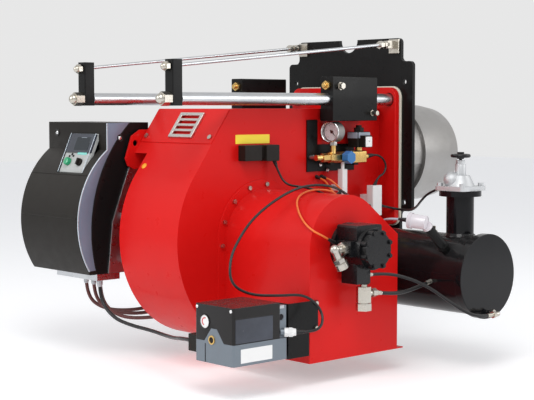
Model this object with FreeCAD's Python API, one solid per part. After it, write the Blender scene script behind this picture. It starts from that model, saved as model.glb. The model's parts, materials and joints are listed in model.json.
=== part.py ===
"""Heavy oil burner on slide bars, as an assembly of separate pieces.

Frame: millimetres, +Z up. The origin is the centre of the burner head on the boiler side
face of the mounting plate. The flame points along +X, the air intake is on the -Y side and
the fan motor and control cabinet are on the +Y side.
"""
import FreeCAD, Part
import math
import os

os.makedirs("parts", exist_ok=True)
V = FreeCAD.Vector
AX = V(1, 0, 0)
AY = V(0, 1, 0)
AZ = V(0, 0, 1)

# Clearances and fits
FACE_GAP = 0.3
SLIDE_FIT = 0.05
SHAFT_FIT = 0.05

# Mounting plate and its gasket
PLATE_T = 14.0
PLATE_HALF_W = 306.0
PLATE_NECK_HALF_W = 252.0
PLATE_TOP = 408.0
PLATE_SHOULDER = 328.0
PLATE_LOW_SHOULDER = -190.0
PLATE_BOTTOM = -296.0
PLATE_CORNER_R = 16.0
NOTCH_R = 45.0
HEAD_HOLE_R = 170.0
STUD_HOLE_R = 9.0
STUD_HOLE_Y = 269.0
STUD_HOLE_Z = 257.0
STUD_HOLE_LOW_Z = -160.0
GASKET_T = 10.0
GASKET_W = 14.0

# Guide bars, straps and tie rods
BAR_Y = 225.0
BAR_Z = 196.0
BAR_D = 40.0
BAR_REAR = -976.0
STRAP_SIDE = 38.0
STRAP_BELOW = 21.0
ROD_D = 11.0
ROD_REAR_Z = 297.0
ROD_FRONT_Z = 386.0
ROD_FRONT_X = -50.0
STRAP_ABOVE_ROD = 17.0

# Carriage front flange and slide blocks
FLANGE_T = 22.0
FLANGE_HALF_Y = 256.0
FLANGE_HALF_Z = 238.0
FLANGE_CORNER_R = 34.0
BLOCK_X0 = -348.0
BLOCK_X1 = -135.0
BLOCK_W = 58.0
BLOCK_TOP = 270.0
BLOCK_BOTTOM = 124.0

# Housing sheet metal: duct, upper chamber and fan scroll
SHEET = 4.0
DUCT_HALF_Y = 181.0
DUCT_TOP = 165.0
DUCT_BOTTOM = -181.0
CHAMBER_REAR = -731.0
FAN_X = -600.0
FAN_Z = -250.0
SCROLL_R = 349.0
SCROLL_BOTTOM = -588.0
SCROLL_RIGHT_R = 284.0
SCROLL_FAR_Y = 115.0
CHAMBER_FLOOR = 20.0

# Sloping rear cover and its grille
COVER_T = 3.0
COVER_DROP = 131.0
GRILLE_W = 118.0
GRILLE_H = 96.0
GRILLE_T = 8.0
SLOT_COUNT = 4

# Air intake box
INTAKE_R = 157.0
INTAKE_X1 = -372.0
INTAKE_SLOPE = 53.0
INTAKE_FRONT_Y = -564.0
INTAKE_BOTTOM = -585.0
INTAKE_LIP = 28.0
INTAKE_FLANGE_R = 188.0
INTAKE_FLANGE_T = 6.0
INLET_R = 134.0
DAMPER_T = 3.0
DAMPER_Z = -490.0
DAMPER_ROD_R = 6.0
DAMPER_END_GAP = 3.0

# Fan wheel, motor and shaft
WHEEL_R = 250.0
WHEEL_W = 150.0
WHEEL_EYE_R = 136.0
BLADE_COUNT = 18
BLADE_T = 4.0
SHAFT_R = 16.0
HUB_R = 40.0
MOTOR_R = 118.0
MOTOR_L = 300.0
MOTOR_FLANGE_R = 160.0
MOTOR_FLANGE_T = 16.0
FIN_COUNT = 24
FIN_H = 12.0
FIN_T = 4.0

# Oil pump on the intake box
PUMP_R = 62.0
PUMP_L = 96.0
PUMP_FOOT_R = 74.0
PUMP_FOOT_T = 14.0

# Damper actuator
SERVO_X0 = -1080.0
SERVO_X1 = -872.0
SERVO_Y0 = -590.0
SERVO_Y1 = -424.0
SERVO_Z0 = -554.0
SERVO_Z1 = -388.0
SERVO_SPLIT_Z = -492.0
SERVO_WALL = 5.0
CAM_R = 46.0
CAM_T = 8.0

# Oil preheater tank
TANK_X = -165.0
TANK_Z = -360.0
TANK_R = 126.0
TANK_CAP_R = 134.0
TANK_FRONT_Y = -758.0
TANK_BACK_Y = 20.0
TANK_WALL = 5.0
TANK_CAP_T = 16.0
NECK_Y = -644.0
NECK_R = 44.0
NECK_TOP = -94.0
NECK_FLANGE_R = 67.0
NECK_FLANGE_T = 18.0
WHEEL_KNOB_R = 32.0

# Combustion head
TUBE_R = 165.0
TUBE_WALL = 4.0
TUBE_END = 232.0
BARREL_R = 177.0
BARREL_END = 401.0
BARREL_LAP = 24.0
MOUTH_R = 128.0
GUN_R = 24.0
GUN_REAR = -430.0
DIFFUSER_R = 112.0
DIFFUSER_X = 300.0
DIFFUSER_TRAVEL = 40.0
VANE_COUNT = 12

# Control cabinet
CAB_Y0 = 200.0
CAB_Y1 = 530.0
CAB_TOP = 120.0
CAB_BOTTOM = -374.0
CAB_FRONT = -938.0
CAB_BACK = -764.0
CAB_STEP_Z = 30.0
CAB_BULGE = 116.0
CAB_WALL = 4.0


def box(x0, x1, y0, y1, z0, z1):
    """Box between two corners."""
    return Part.makeBox(x1 - x0, y1 - y0, z1 - z0, V(x0, y0, z0))


def cyl(base, axis, radius, length):
    """Solid round bar from base along axis."""
    return Part.makeCylinder(radius, length, V(*base), axis)


def tube(base, axis, outer, inner, length):
    """Round pipe from base along axis."""
    return cyl(base, axis, outer, length).cut(cyl(base, axis, inner, length))


def hexagon(base, axis, across, length):
    """Hexagon prism with the given width across its flats."""
    radius = across / math.sqrt(3)
    side = V(0, 0, 1) if abs(axis.z) < 0.9 else V(1, 0, 0)
    side = (side - axis * side.dot(axis)).normalize()
    other = axis.cross(side)
    corners = []
    for k in range(7):
        a = math.radians(60 * k)
        corners.append(V(*base) + side * radius * math.cos(a) + other * radius * math.sin(a))
    return Part.Face(Part.makePolygon(corners)).extrude(axis * length)


def join(shapes):
    """One solid from pieces that overlap or share a face."""
    body = shapes[0].multiFuse(shapes[1:]) if len(shapes) > 1 else shapes[0]
    return body.removeSplitter()


def group(shapes):
    """Separate solids kept side by side in one node."""
    return Part.makeCompound(shapes)


def plate_yz(corners, radius, x0, x1):
    """Flat plate across X with the given outline in Y and Z and rounded corners."""
    wire = Part.makePolygon([V(x0, y, z) for y, z in corners] + [V(x0, *corners[0])])
    solid = Part.Face(wire).extrude(V(x1 - x0, 0, 0))
    if radius:
        edges = [e for e in solid.Edges if abs(e.tangentAt(e.FirstParameter).x) > 0.99]
        solid = solid.makeFillet(radius, edges)
    return solid


def prism_xz(edges, y0, y1):
    """Prism along Y over a closed outline of edges that lie in the plane Y = 0."""
    face = Part.Face(Part.Wire(Part.__sortEdges__(edges)))
    face.translate(V(0, y0, 0))
    return face.extrude(V(0, y1 - y0, 0))


def line_xz(a, b):
    return Part.LineSegment(V(a[0], 0, a[1]), V(b[0], 0, b[1])).toShape()


def arc_xz(a, m, b):
    return Part.Arc(V(a[0], 0, a[1]), V(m[0], 0, m[1]), V(b[0], 0, b[1])).toShape()


def polar(radius, degrees, centre=(FAN_X, FAN_Z)):
    """Point at an angle about the fan axis, 0 towards +X and 90 towards +Z."""
    a = math.radians(degrees)
    return (centre[0] + radius * math.cos(a), centre[1] + radius * math.sin(a))


def round_rim(shape, radius, test):
    """Round the edges that the test picks."""
    edges = [e for e in shape.Edges if test(e)]
    return shape.makeFillet(radius, edges) if edges else shape


NODES = {}


def node(name, shape):
    """Keep a finished piece under its name."""
    NODES[name] = shape


# Root: mounting plate, gasket, guide bars, straps and rods


def make_plate():
    """Plate with shoulders, two upper ears, the hole for the head and the stud holes."""
    w, n = PLATE_HALF_W, PLATE_NECK_HALF_W
    outline = [(-n, PLATE_BOTTOM), (n, PLATE_BOTTOM), (n, PLATE_LOW_SHOULDER), (w, PLATE_LOW_SHOULDER),
               (w, PLATE_SHOULDER), (n, PLATE_SHOULDER), (n, PLATE_TOP), (-n, PLATE_TOP),
               (-n, PLATE_SHOULDER), (-w, PLATE_SHOULDER), (-w, PLATE_LOW_SHOULDER),
               (-n, PLATE_LOW_SHOULDER)]
    plate = plate_yz(outline, PLATE_CORNER_R, -PLATE_T, 0)
    cuts = [cyl((-PLATE_T, 0, 0), AX, HEAD_HOLE_R, PLATE_T),
            cyl((-PLATE_T, 0, PLATE_TOP), AX, NOTCH_R, PLATE_T)]
    for y in (-STUD_HOLE_Y, STUD_HOLE_Y):
        for z in (STUD_HOLE_Z, STUD_HOLE_LOW_Z):
            cuts.append(cyl((-PLATE_T, y, z), AX, STUD_HOLE_R, PLATE_T))
    for y in (-BAR_Y, BAR_Y):
        cuts.append(cyl((-PLATE_T, y, BAR_Z), AX, BAR_D / 2, PLATE_T / 2))
    for cut in cuts:
        plate = plate.cut(cut)
    return plate


def ring_frame(half_y, half_z, radius, width, x0, x1):
    """Rectangular ring with rounded corners."""
    outer = plate_yz([(-half_y, -half_z), (half_y, -half_z), (half_y, half_z), (-half_y, half_z)], radius,
                     x0, x1)
    iy, iz = half_y - width, half_z - width
    inner = plate_yz([(-iy, -iz), (iy, -iz), (iy, iz), (-iy, iz)], radius - width, x0, x1)
    return outer.cut(inner)


GASKET_X0 = -PLATE_T - GASKET_T
FLANGE_X1 = GASKET_X0 - FACE_GAP
FLANGE_X0 = FLANGE_X1 - FLANGE_T
FLANGE_BAR_HOLE = BAR_D / 2 + 2.0


def make_gasket():
    """Rope seal, cut away where the guide bars pass."""
    ring = ring_frame(FLANGE_HALF_Y + 4, FLANGE_HALF_Z + 4, FLANGE_CORNER_R + 4, GASKET_W, GASKET_X0,
                      -PLATE_T)
    for y in (-BAR_Y, BAR_Y):
        ring = ring.cut(cyl((GASKET_X0, y, BAR_Z), AX, FLANGE_BAR_HOLE, GASKET_T))
    return ring


node("mounting_plate", make_plate())
node("plate_gasket", make_gasket())
BAR_FRONT = -PLATE_T / 2
node("guide_bars", group([cyl((BAR_REAR, y, BAR_Z), AX, BAR_D / 2, BAR_FRONT - BAR_REAR)
                          for y in (-BAR_Y, BAR_Y)]))

STRAP_X0 = BAR_REAR - STRAP_SIDE
STRAP_TOP = ROD_REAR_Z + STRAP_ABOVE_ROD
ROD_SLOPE = math.atan2(ROD_FRONT_Z - ROD_REAR_Z, ROD_FRONT_X - BAR_REAR)
ROD_DIR = V(math.cos(ROD_SLOPE), 0, math.sin(ROD_SLOPE))


def make_strap(y):
    """Square upright at the rear end of one guide bar, bored for the bar stud and the rod."""
    half = STRAP_SIDE / 2
    strap = box(STRAP_X0, BAR_REAR, y - half, y + half, BAR_Z - STRAP_BELOW, STRAP_TOP)
    strap = round_rim(strap, 3, lambda e: abs(e.tangentAt(0).z) > 0.99)
    start = V(BAR_REAR, y, ROD_REAR_Z) - ROD_DIR * (STRAP_SIDE * 1.5)
    return strap.cut(cyl(tuple(start), ROD_DIR, ROD_D / 2 + SHAFT_FIT, STRAP_SIDE * 2.5))


node("rear_straps", group([make_strap(y) for y in (-BAR_Y, BAR_Y)]))

ROD_TAIL = 22.0
ROD_LENGTH = (ROD_FRONT_X - BAR_REAR) / math.cos(ROD_SLOPE)


def rod_point(distance, y):
    """Point on the tie rod centre line, counted from the front face of the strap."""
    return V(BAR_REAR, y, ROD_REAR_Z) + ROD_DIR * distance


def make_rod(y):
    """Tie rod from behind the strap to its clamp on the plate."""
    start = rod_point(-STRAP_SIDE - ROD_TAIL, y)
    return cyl(tuple(start), ROD_DIR, ROD_D / 2, STRAP_SIDE + ROD_TAIL + ROD_LENGTH)


node("tie_rods", group([make_rod(y) for y in (-BAR_Y, BAR_Y)]))


def cap_nut(base, axis, across, height):
    """Domed nut: a hexagon with a ball end, the axis pointing out of the strap."""
    body = hexagon(base, axis, across, height)
    tip = V(*base) + axis * height
    dome = Part.makeSphere(across * 0.43, tip)
    return join([body, dome])


def make_nuts():
    """Cap nuts of the bars and of the rods behind the two straps."""
    nuts = []
    for y in (-BAR_Y, BAR_Y):
        nuts.append(cap_nut((STRAP_X0, y, BAR_Z), V(-1, 0, 0), 38, 30))
        base = rod_point(-STRAP_SIDE - 3.2, y)
        nut = cap_nut(tuple(base), ROD_DIR * -1, 26, 14)
        nuts.append(nut.cut(make_rod(y)))
    return nuts


def make_clamp(y):
    """Angle bracket on the rear of the plate that holds the front end of a tie rod."""
    z = ROD_FRONT_Z
    foot = box(-PLATE_T - 8, -PLATE_T, y - 22, y + 22, z - 30, z + 18)
    arm = box(ROD_FRONT_X - 6, -PLATE_T - 8, y - 6, y + 6, z - 14, z + 12)
    eye = hexagon(tuple(rod_point(ROD_LENGTH - 46, y)), ROD_DIR, 24, 16)
    lock = hexagon(tuple(rod_point(ROD_LENGTH - 24, y)), ROD_DIR, 22, 10)
    barrel = cyl(tuple(rod_point(ROD_LENGTH - 30, y)), ROD_DIR, 8.5, 30)
    body = join([foot, arm, eye, lock, barrel])
    return body.cut(make_rod(y))


node("rod_fittings", group(make_nuts() + [make_clamp(y) for y in (-BAR_Y, BAR_Y)]))


def make_blast_tube():
    """Stainless tube with a collar that sits in the hole of the plate."""
    body = tube((-PLATE_T, 0, 0), AX, TUBE_R, TUBE_R - TUBE_WALL, TUBE_END + PLATE_T)
    collar = tube((-PLATE_T, 0, 0), AX, HEAD_HOLE_R, TUBE_R - TUBE_WALL, PLATE_T)
    return join([body, collar])


def make_barrel():
    """Flame barrel: a wider shell over the tube end with a cone down to the mouth."""
    x0 = TUBE_END - BARREL_LAP
    cone = 60.0
    profile = [(x0, TUBE_R), (x0, BARREL_R), (BARREL_END - cone, BARREL_R), (BARREL_END, BARREL_R - 10),
               (BARREL_END, MOUTH_R), (BARREL_END - 4, MOUTH_R), (BARREL_END - cone, BARREL_R - TUBE_WALL),
               (x0 + BARREL_LAP, BARREL_R - TUBE_WALL), (x0 + BARREL_LAP, TUBE_R)]
    points = [V(x, 0, r) for x, r in profile]
    face = Part.Face(Part.makePolygon(points + [points[0]]))
    return face.revolve(V(0, 0, 0), AX, 360)


node("blast_tube", make_blast_tube())
node("flame_barrel", make_barrel())

# Carriage: housing, front flange and slide blocks


def slope_tangent():
    """Point where the sloping back touches the scroll circle, seen from the chamber corner."""
    dx = CHAMBER_REAR - FAN_X
    dz = DUCT_TOP - FAN_Z
    reach = math.hypot(dx, dz)
    turn = math.degrees(math.acos(SCROLL_R / reach))
    return math.degrees(math.atan2(dz, dx)) + turn


TANGENT = slope_tangent()
LOW_ANGLE = 222.0


def scroll_outline(inset):
    """Closed scroll outline: slope, round back, flatter bottom and the cut-off under the duct."""
    r = SCROLL_R - inset
    t = polar(r, TANGENT)
    low = polar(r, LOW_ANGLE)
    bottom = (FAN_X, SCROLL_BOTTOM + inset)
    right = (FAN_X + SCROLL_RIGHT_R - inset, FAN_Z)
    nose = (right[0], DUCT_BOTTOM + SHEET + 2)
    top_z = CHAMBER_FLOOR + 40 - inset
    slope_x = t[0] - (top_z - t[1]) * math.tan(math.radians(TANGENT))
    top = (slope_x, top_z)
    shelf = (right[0], top_z)
    low_mid = polar((r + FAN_Z - bottom[1]) / 2 + 2, (LOW_ANGLE + 270) / 2)
    right_mid = polar((FAN_Z - bottom[1] + right[0] - FAN_X) / 2, 315)
    return [line_xz(top, t), arc_xz(t, polar(r, (TANGENT + LOW_ANGLE) / 2), low),
            arc_xz(low, low_mid, bottom),
            arc_xz(bottom, right_mid, right), line_xz(right, nose), line_xz(nose, shelf),
            line_xz(shelf, top)]


def chamber_outline(inset):
    """Upper chamber and duct in one side view: slope at the rear, flat top, open front."""
    slope = math.radians(TANGENT)
    off = inset
    shift = off * (1 - math.cos(math.pi - slope)) / max(math.sin(math.pi - slope), 0.1)
    top_left = (CHAMBER_REAR + shift, DUCT_TOP - off)
    direction = (math.sin(slope), -math.cos(slope))
    if direction[1] > 0:
        direction = (-direction[0], -direction[1])
    low_z = CHAMBER_FLOOR + off
    k = (low_z - top_left[1]) / direction[1]
    low_left = (top_left[0] + direction[0] * k, low_z)
    step_x = -640.0 + off
    front = FLANGE_X0 if not inset else FLANGE_X0 + 1
    points = [low_left, top_left, (front, DUCT_TOP - off), (front, DUCT_BOTTOM + off),
              (step_x, DUCT_BOTTOM + off),
              (step_x, low_z)]
    return [line_xz(points[k], points[(k + 1) % len(points)]) for k in range(len(points))]


MOTOR_HOLE_R = 70.0
FEED_X = -385.0
FEED_R = 8.0
LINE_Z = 3.0
MOTOR_RECESS_R = MOTOR_FLANGE_R + 8


def make_housing():
    """Welded housing: outer form less inner form, then the openings for its neighbours."""
    outer = prism_xz(scroll_outline(0), -DUCT_HALF_Y, SCROLL_FAR_Y)
    outer = outer.fuse(prism_xz(chamber_outline(0), -DUCT_HALF_Y, DUCT_HALF_Y))
    inner = prism_xz(scroll_outline(SHEET), -DUCT_HALF_Y + SHEET, SCROLL_FAR_Y - SHEET)
    inner = inner.fuse(prism_xz(chamber_outline(SHEET), -DUCT_HALF_Y + SHEET, DUCT_HALF_Y - SHEET))
    outer = outer.cut(cyl((FAN_X, SCROLL_FAR_Y, FAN_Z), AY, MOTOR_RECESS_R, DUCT_HALF_Y))
    inner = inner.cut(cyl((FAN_X, SCROLL_FAR_Y - SHEET, FAN_Z), AY, MOTOR_RECESS_R + SHEET, DUCT_HALF_Y))
    shell = outer.cut(inner)
    shell = shell.cut(cyl((FAN_X, -DUCT_HALF_Y, FAN_Z), AY, INLET_R, SHEET))
    shell = shell.cut(cyl((FAN_X, SCROLL_FAR_Y - SHEET, FAN_Z), AY, MOTOR_HOLE_R, SHEET))
    shell = shell.cut(cyl((FEED_X, -DUCT_HALF_Y, LINE_Z), AY, FEED_R, SHEET))
    return shell.removeSplitter()


housing = make_housing()
print("housing solids", len(housing.Solids), "volume", round(housing.Volume / 1000), "cm3")
node("burner_housing", housing)


def make_flange():
    """Front flange of the carriage, with the duct opening and clear holes for the bars."""
    y, z = FLANGE_HALF_Y, FLANGE_HALF_Z
    flange = plate_yz([(-y, -z), (y, -z), (y, z), (-y, z)], FLANGE_CORNER_R, FLANGE_X0, FLANGE_X1)
    flange = flange.cut(cyl((FLANGE_X0, 0, 0), AX, DUCT_HALF_Y - 24, FLANGE_T))
    for side in (-BAR_Y, BAR_Y):
        flange = flange.cut(cyl((FLANGE_X0, side, BAR_Z), AX, FLANGE_BAR_HOLE, FLANGE_T))
    return flange


node("front_flange", make_flange())
BLOCK_IN = BAR_Y - BLOCK_W / 2


def make_block(side):
    """Slide block around one guide bar, with the web that carries it on the duct side."""
    y = side * BAR_Y
    half = BLOCK_W / 2
    body = box(BLOCK_X0, BLOCK_X1, y - half, y + half, BLOCK_BOTTOM, BLOCK_TOP)
    body = round_rim(body, 4, lambda e: abs(e.tangentAt(0).x) > 0.99)
    wall = side * DUCT_HALF_Y
    inner = side * BLOCK_IN
    web = box(BLOCK_X0 + 12, BLOCK_X1 - 12, min(wall, inner), max(wall, inner), BLOCK_BOTTOM + 4, DUCT_TOP)
    body = join([body, web])
    return body.cut(cyl((BLOCK_X0 - 1, y, BAR_Z), AX, BAR_D / 2 + SLIDE_FIT, BLOCK_X1 - BLOCK_X0 + 2))


node("slide_blocks", group([make_block(s) for s in (-1, 1)]))


def make_lubricators():
    """Brass lubricator at the rear of each block, above its bar."""
    found = []
    for side in (-1, 1):
        y = side * BAR_Y - 4
        base = (BLOCK_X0, y, BLOCK_TOP - 28)
        nut = hexagon(base, V(-1, 0, 0), 27, 12)
        tip = cyl((BLOCK_X0 - 12, y, BLOCK_TOP - 28), V(-1, 0, 0), 8, 9)
        found.append(join([nut, tip]))
    return found


node("lubricators", group(make_lubricators()))


def make_block_screws():
    """Clamping screws on the outer faces of the blocks."""
    found = []
    for side in (-1, 1):
        face = side * (BAR_Y + BLOCK_W / 2)
        axis = V(0, side, 0)
        found.append(join([cyl((BLOCK_X0 + 32, face, BLOCK_TOP - 30), axis, 13, 5),
                           hexagon((BLOCK_X0 + 32, face + side * 5, BLOCK_TOP - 30), axis, 19, 12)]))
        found.append(join([cyl((BLOCK_X1 - 26, face, BLOCK_BOTTOM + 26), axis, 10, 4),
                           hexagon((BLOCK_X1 - 26, face + side * 4, BLOCK_BOTTOM + 26), axis, 15, 22)]))
    return found


SLOPE_DIR = V(math.sin(math.radians(TANGENT)), 0, -math.cos(math.radians(TANGENT)))
if SLOPE_DIR.z > 0:
    SLOPE_DIR = SLOPE_DIR * -1
SLOPE_OUT = V(math.cos(math.radians(TANGENT)), 0, math.sin(math.radians(TANGENT)))


def on_slope(down, y, out):
    """Point on the sloping back: distance down the slope, across and out of its face."""
    return V(CHAMBER_REAR, y, DUCT_TOP) + SLOPE_DIR * down + SLOPE_OUT * out


def slope_box(d0, d1, y0, y1, o0, o1):
    """Box laid on the sloping back."""
    corners = [on_slope(d0, y0, o0), on_slope(d1, y0, o0), on_slope(d1, y1, o0), on_slope(d0, y1, o0)]
    face = Part.Face(Part.makePolygon(corners + [corners[0]]))
    return face.extrude(SLOPE_OUT * (o1 - o0))


GRILLE_TOP = 22.0
GRILLE_Y = -18.0


def make_cover():
    """Sloping cover plate with the window for the grille."""
    plate = slope_box(4, COVER_DROP + 4, -DUCT_HALF_Y + 2, DUCT_HALF_Y - 2, 0, COVER_T)
    window = slope_box(GRILLE_TOP + 9, GRILLE_TOP + GRILLE_H - 9, GRILLE_Y - GRILLE_W / 2 + 9,
                       GRILLE_Y + GRILLE_W / 2 - 9, 0, COVER_T)
    return plate.cut(window)


def make_grille():
    """Aluminium vent grille with long slots."""
    plate = slope_box(GRILLE_TOP, GRILLE_TOP + GRILLE_H, GRILLE_Y - GRILLE_W / 2, GRILLE_Y + GRILLE_W / 2,
                      COVER_T, COVER_T + GRILLE_T)
    pitch = (GRILLE_H - 14) / SLOT_COUNT
    for k in range(SLOT_COUNT):
        d = GRILLE_TOP + 7 + pitch * k + pitch * 0.22
        plate = plate.cut(slope_box(d, d + pitch * 0.56, GRILLE_Y - GRILLE_W / 2 + 14,
                                    GRILLE_Y + GRILLE_W / 2 - 14, COVER_T, COVER_T + GRILLE_T))
    return plate


node("rear_cover", make_cover())
node("vent_grille", make_grille())


def make_cover_screws():
    found = []
    for y in (-DUCT_HALF_Y + 20, DUCT_HALF_Y - 20):
        found.append(cyl(tuple(on_slope(COVER_DROP - 18, y, COVER_T)), SLOPE_OUT, 8, 6))
    return found


# Air intake box with its dampers


INTAKE_X0 = FAN_X - INTAKE_R


def intake_outline(inset):
    """Round top that runs off in a slope to the right, over straight sides; open below."""
    r = INTAKE_R - inset
    turn = math.radians(INTAKE_SLOPE)
    left = (FAN_X - r, FAN_Z)
    leave = polar(r, INTAKE_SLOPE)
    right_x = INTAKE_X1 - inset
    corner = (right_x, leave[1] - (right_x - leave[0]) / math.tan(turn))
    low = INTAKE_BOTTOM
    return [arc_xz(left, polar(r, (180 + INTAKE_SLOPE) / 2), leave), line_xz(leave, corner),
            line_xz(corner, (right_x, low)), line_xz((right_x, low), (left[0], low)),
            line_xz((left[0], low), left)]


INTAKE_BACK_Y = -DUCT_HALF_Y - INTAKE_FLANGE_T
DAMPER_LEVELS = (INTAKE_FRONT_Y + 100, INTAKE_BACK_Y - 95)


def make_intake():
    """Sheet metal intake casing: closed near face, open bottom, flanged to the housing."""
    shell = prism_xz(intake_outline(0), INTAKE_FRONT_Y, INTAKE_BACK_Y)
    hollow = prism_xz(intake_outline(SHEET), INTAKE_FRONT_Y + SHEET, INTAKE_BACK_Y - SHEET)
    shell = shell.cut(hollow)
    foot = box(INTAKE_X0, INTAKE_X1 + INTAKE_LIP, INTAKE_FRONT_Y, INTAKE_BACK_Y, INTAKE_BOTTOM - SHEET,
               INTAKE_BOTTOM)
    throat = box(INTAKE_X0 + 16, INTAKE_X1 - 16, INTAKE_FRONT_Y + 16, INTAKE_BACK_Y - 16,
                 INTAKE_BOTTOM - SHEET, INTAKE_BOTTOM)
    shell = shell.fuse(foot.cut(throat))
    shell = shell.cut(cyl((FAN_X, INTAKE_BACK_Y - SHEET, FAN_Z), AY, INLET_R, SHEET))
    shell = shell.cut(cyl((FAN_X, INTAKE_FRONT_Y, FAN_Z), AY, 30, SHEET))
    for y in DAMPER_LEVELS:
        shell = shell.cut(cyl((INTAKE_X0, y, DAMPER_Z), AX, DAMPER_ROD_R + SHAFT_FIT,
                              INTAKE_X1 - INTAKE_X0))
    return shell.removeSplitter()


def make_intake_flange():
    """Flange between the intake casing and the housing wall."""
    y0 = INTAKE_BACK_Y
    r = INTAKE_FLANGE_R
    disc = cyl((FAN_X, y0, FAN_Z), AY, r, INTAKE_FLANGE_T)
    skirt = box(FAN_X - r, FAN_X + r, y0, y0 + INTAKE_FLANGE_T, SCROLL_BOTTOM + 90, FAN_Z)
    return disc.fuse(skirt).removeSplitter().cut(cyl((FAN_X, y0, FAN_Z), AY, INLET_R, INTAKE_FLANGE_T))


node("air_intake_box", group([make_intake(), make_intake_flange()]))


def make_flange_bolts():
    found = []
    radius = (INTAKE_FLANGE_R + INTAKE_R) / 2 + 1
    for a in (85, 110, 135, 160, 185):
        x, z = polar(radius, a)
        found.append(hexagon((x, INTAKE_BACK_Y - 7, z), AY, 13, 7))
    return found


def make_inlet_ring():
    """Inlet bell that leads the air from the intake casing into the eye of the wheel."""
    y0 = -DUCT_HALF_Y + SHEET
    length = 44.0
    points = [(y0, INLET_R + 14), (y0, INLET_R - 4), (y0 + 12, INLET_R - 16), (y0 + length, INLET_R - 24),
              (y0 + length, INLET_R - 21), (y0 + 13, INLET_R - 12), (y0 + 3, INLET_R),
              (y0 + 3, INLET_R + 14)]
    wires = [V(FAN_X + r, y, FAN_Z) for y, r in points]
    face = Part.Face(Part.makePolygon(wires + [wires[0]]))
    return face.revolve(V(FAN_X, 0, FAN_Z), AY, 360)


node("inlet_bell", make_inlet_ring())


CRANK_REACH = 40.0
CRANK_PIN_R = 4.0
CRANK_X0 = INTAKE_X0 - 28.0


def make_damper(y):
    """Damper blade on its spindle with the crank outside, level when closed."""
    half = (INTAKE_BACK_Y - INTAKE_FRONT_Y) / 4 - DAMPER_END_GAP - SHEET / 2
    x0 = INTAKE_X0 + SHEET + DAMPER_END_GAP
    x1 = INTAKE_X1 - SHEET - DAMPER_END_GAP
    blade = box(x0, x1, y - half, y + half, DAMPER_Z - DAMPER_T / 2, DAMPER_Z + DAMPER_T / 2)
    rod = cyl((CRANK_X0, y, DAMPER_Z), AX, DAMPER_ROD_R, INTAKE_X1 + 12 - CRANK_X0)
    arm = box(CRANK_X0, CRANK_X0 + 6, y - 8, y + 8, DAMPER_Z - 8, DAMPER_Z + CRANK_REACH + 8)
    pin = cyl((CRANK_X0 - 7, y, DAMPER_Z + CRANK_REACH), AX, CRANK_PIN_R, 7)
    crank = arm.fuse(pin)
    crank.rotate(V(0, y, DAMPER_Z), AX, 45)
    return join([blade, rod, crank])


node("front_damper", make_damper(DAMPER_LEVELS[0]))
node("rear_damper", make_damper(DAMPER_LEVELS[1]))

# Fan wheel, shaft and motor
WHEEL_Y0 = -DUCT_HALF_Y + SHEET + 46
WHEEL_Y1 = WHEEL_Y0 + WHEEL_W


def make_wheel():
    """Centrifugal wheel: back disc, eye ring, hub and backward leaning blades."""
    back = cyl((FAN_X, WHEEL_Y1 - 4, FAN_Z), AY, WHEEL_R, 4)
    ring = tube((FAN_X, WHEEL_Y0, FAN_Z), AY, WHEEL_R, WHEEL_EYE_R, 3)
    hub = cyl((FAN_X, WHEEL_Y1 - 60, FAN_Z), AY, HUB_R, 60)
    pieces = [back, ring, hub]
    span = WHEEL_R - WHEEL_EYE_R - 2
    for k in range(BLADE_COUNT):
        a = 360.0 / BLADE_COUNT * k
        blade = Part.makeBox(span * 1.05, WHEEL_W - 2, BLADE_T)
        blade.rotate(V(0, 0, 0), AY, 35)
        blade.translate(V(FAN_X + WHEEL_EYE_R + 2, WHEEL_Y0 + 1, FAN_Z))
        blade.rotate(V(FAN_X, 0, FAN_Z), AY, a)
        pieces.append(blade)
    wheel = join(pieces)
    wheel = wheel.common(cyl((FAN_X, WHEEL_Y0, FAN_Z), AY, WHEEL_R, WHEEL_W))
    return wheel.cut(cyl((FAN_X, WHEEL_Y1 - 60, FAN_Z), AY, SHAFT_R, 60))


wheel = make_wheel()
print("wheel solids", len(wheel.Solids))
node("fan_wheel", wheel)
SHAFT_Y0 = INTAKE_FRONT_Y - 30
SHAFT_Y1 = SCROLL_FAR_Y + MOTOR_L - 40


def make_shaft():
    """Motor shaft with the wheel on it and the long coupling that drives the oil pump."""
    motor_part = cyl((FAN_X, WHEEL_Y1 - 70, FAN_Z), AY, SHAFT_R, SHAFT_Y1 - WHEEL_Y1 + 70)
    link = cyl((FAN_X, SHAFT_Y0, FAN_Z), AY, 9, WHEEL_Y1 - 70 - SHAFT_Y0)
    boss = cyl((FAN_X, INTAKE_FRONT_Y + 18, FAN_Z), AY, 20, 60)
    rear_boss = cyl((FAN_X, WHEEL_Y1 - 100, FAN_Z), AY, 24, 38)
    return join([motor_part, link, boss, rear_boss])


node("motor_shaft", make_shaft())


def make_motor():
    """Finned motor shell, hollow for its rotor, with end shields and feetless flange."""
    y0 = SCROLL_FAR_Y + MOTOR_FLANGE_T
    body = cyl((FAN_X, y0, FAN_Z), AY, MOTOR_R - FIN_H, MOTOR_L)
    pieces = [body, cyl((FAN_X, y0, FAN_Z), AY, MOTOR_R, 16),
              cyl((FAN_X, y0 + MOTOR_L - 60, FAN_Z), AY, MOTOR_R, 60)]
    for k in range(FIN_COUNT):
        fin = box(FAN_X + MOTOR_R - FIN_H - 3, FAN_X + MOTOR_R - 2, y0 + 16, y0 + MOTOR_L - 60,
                  FAN_Z - FIN_T / 2,
                  FAN_Z + FIN_T / 2)
        fin.rotate(V(FAN_X, 0, FAN_Z), AY, 360.0 / FIN_COUNT * k)
        pieces.append(fin)
    motor = join(pieces)
    return motor.cut(cyl((FAN_X, y0, FAN_Z), AY, SHAFT_R + SHAFT_FIT, SHAFT_Y1 - y0 + 4))


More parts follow.
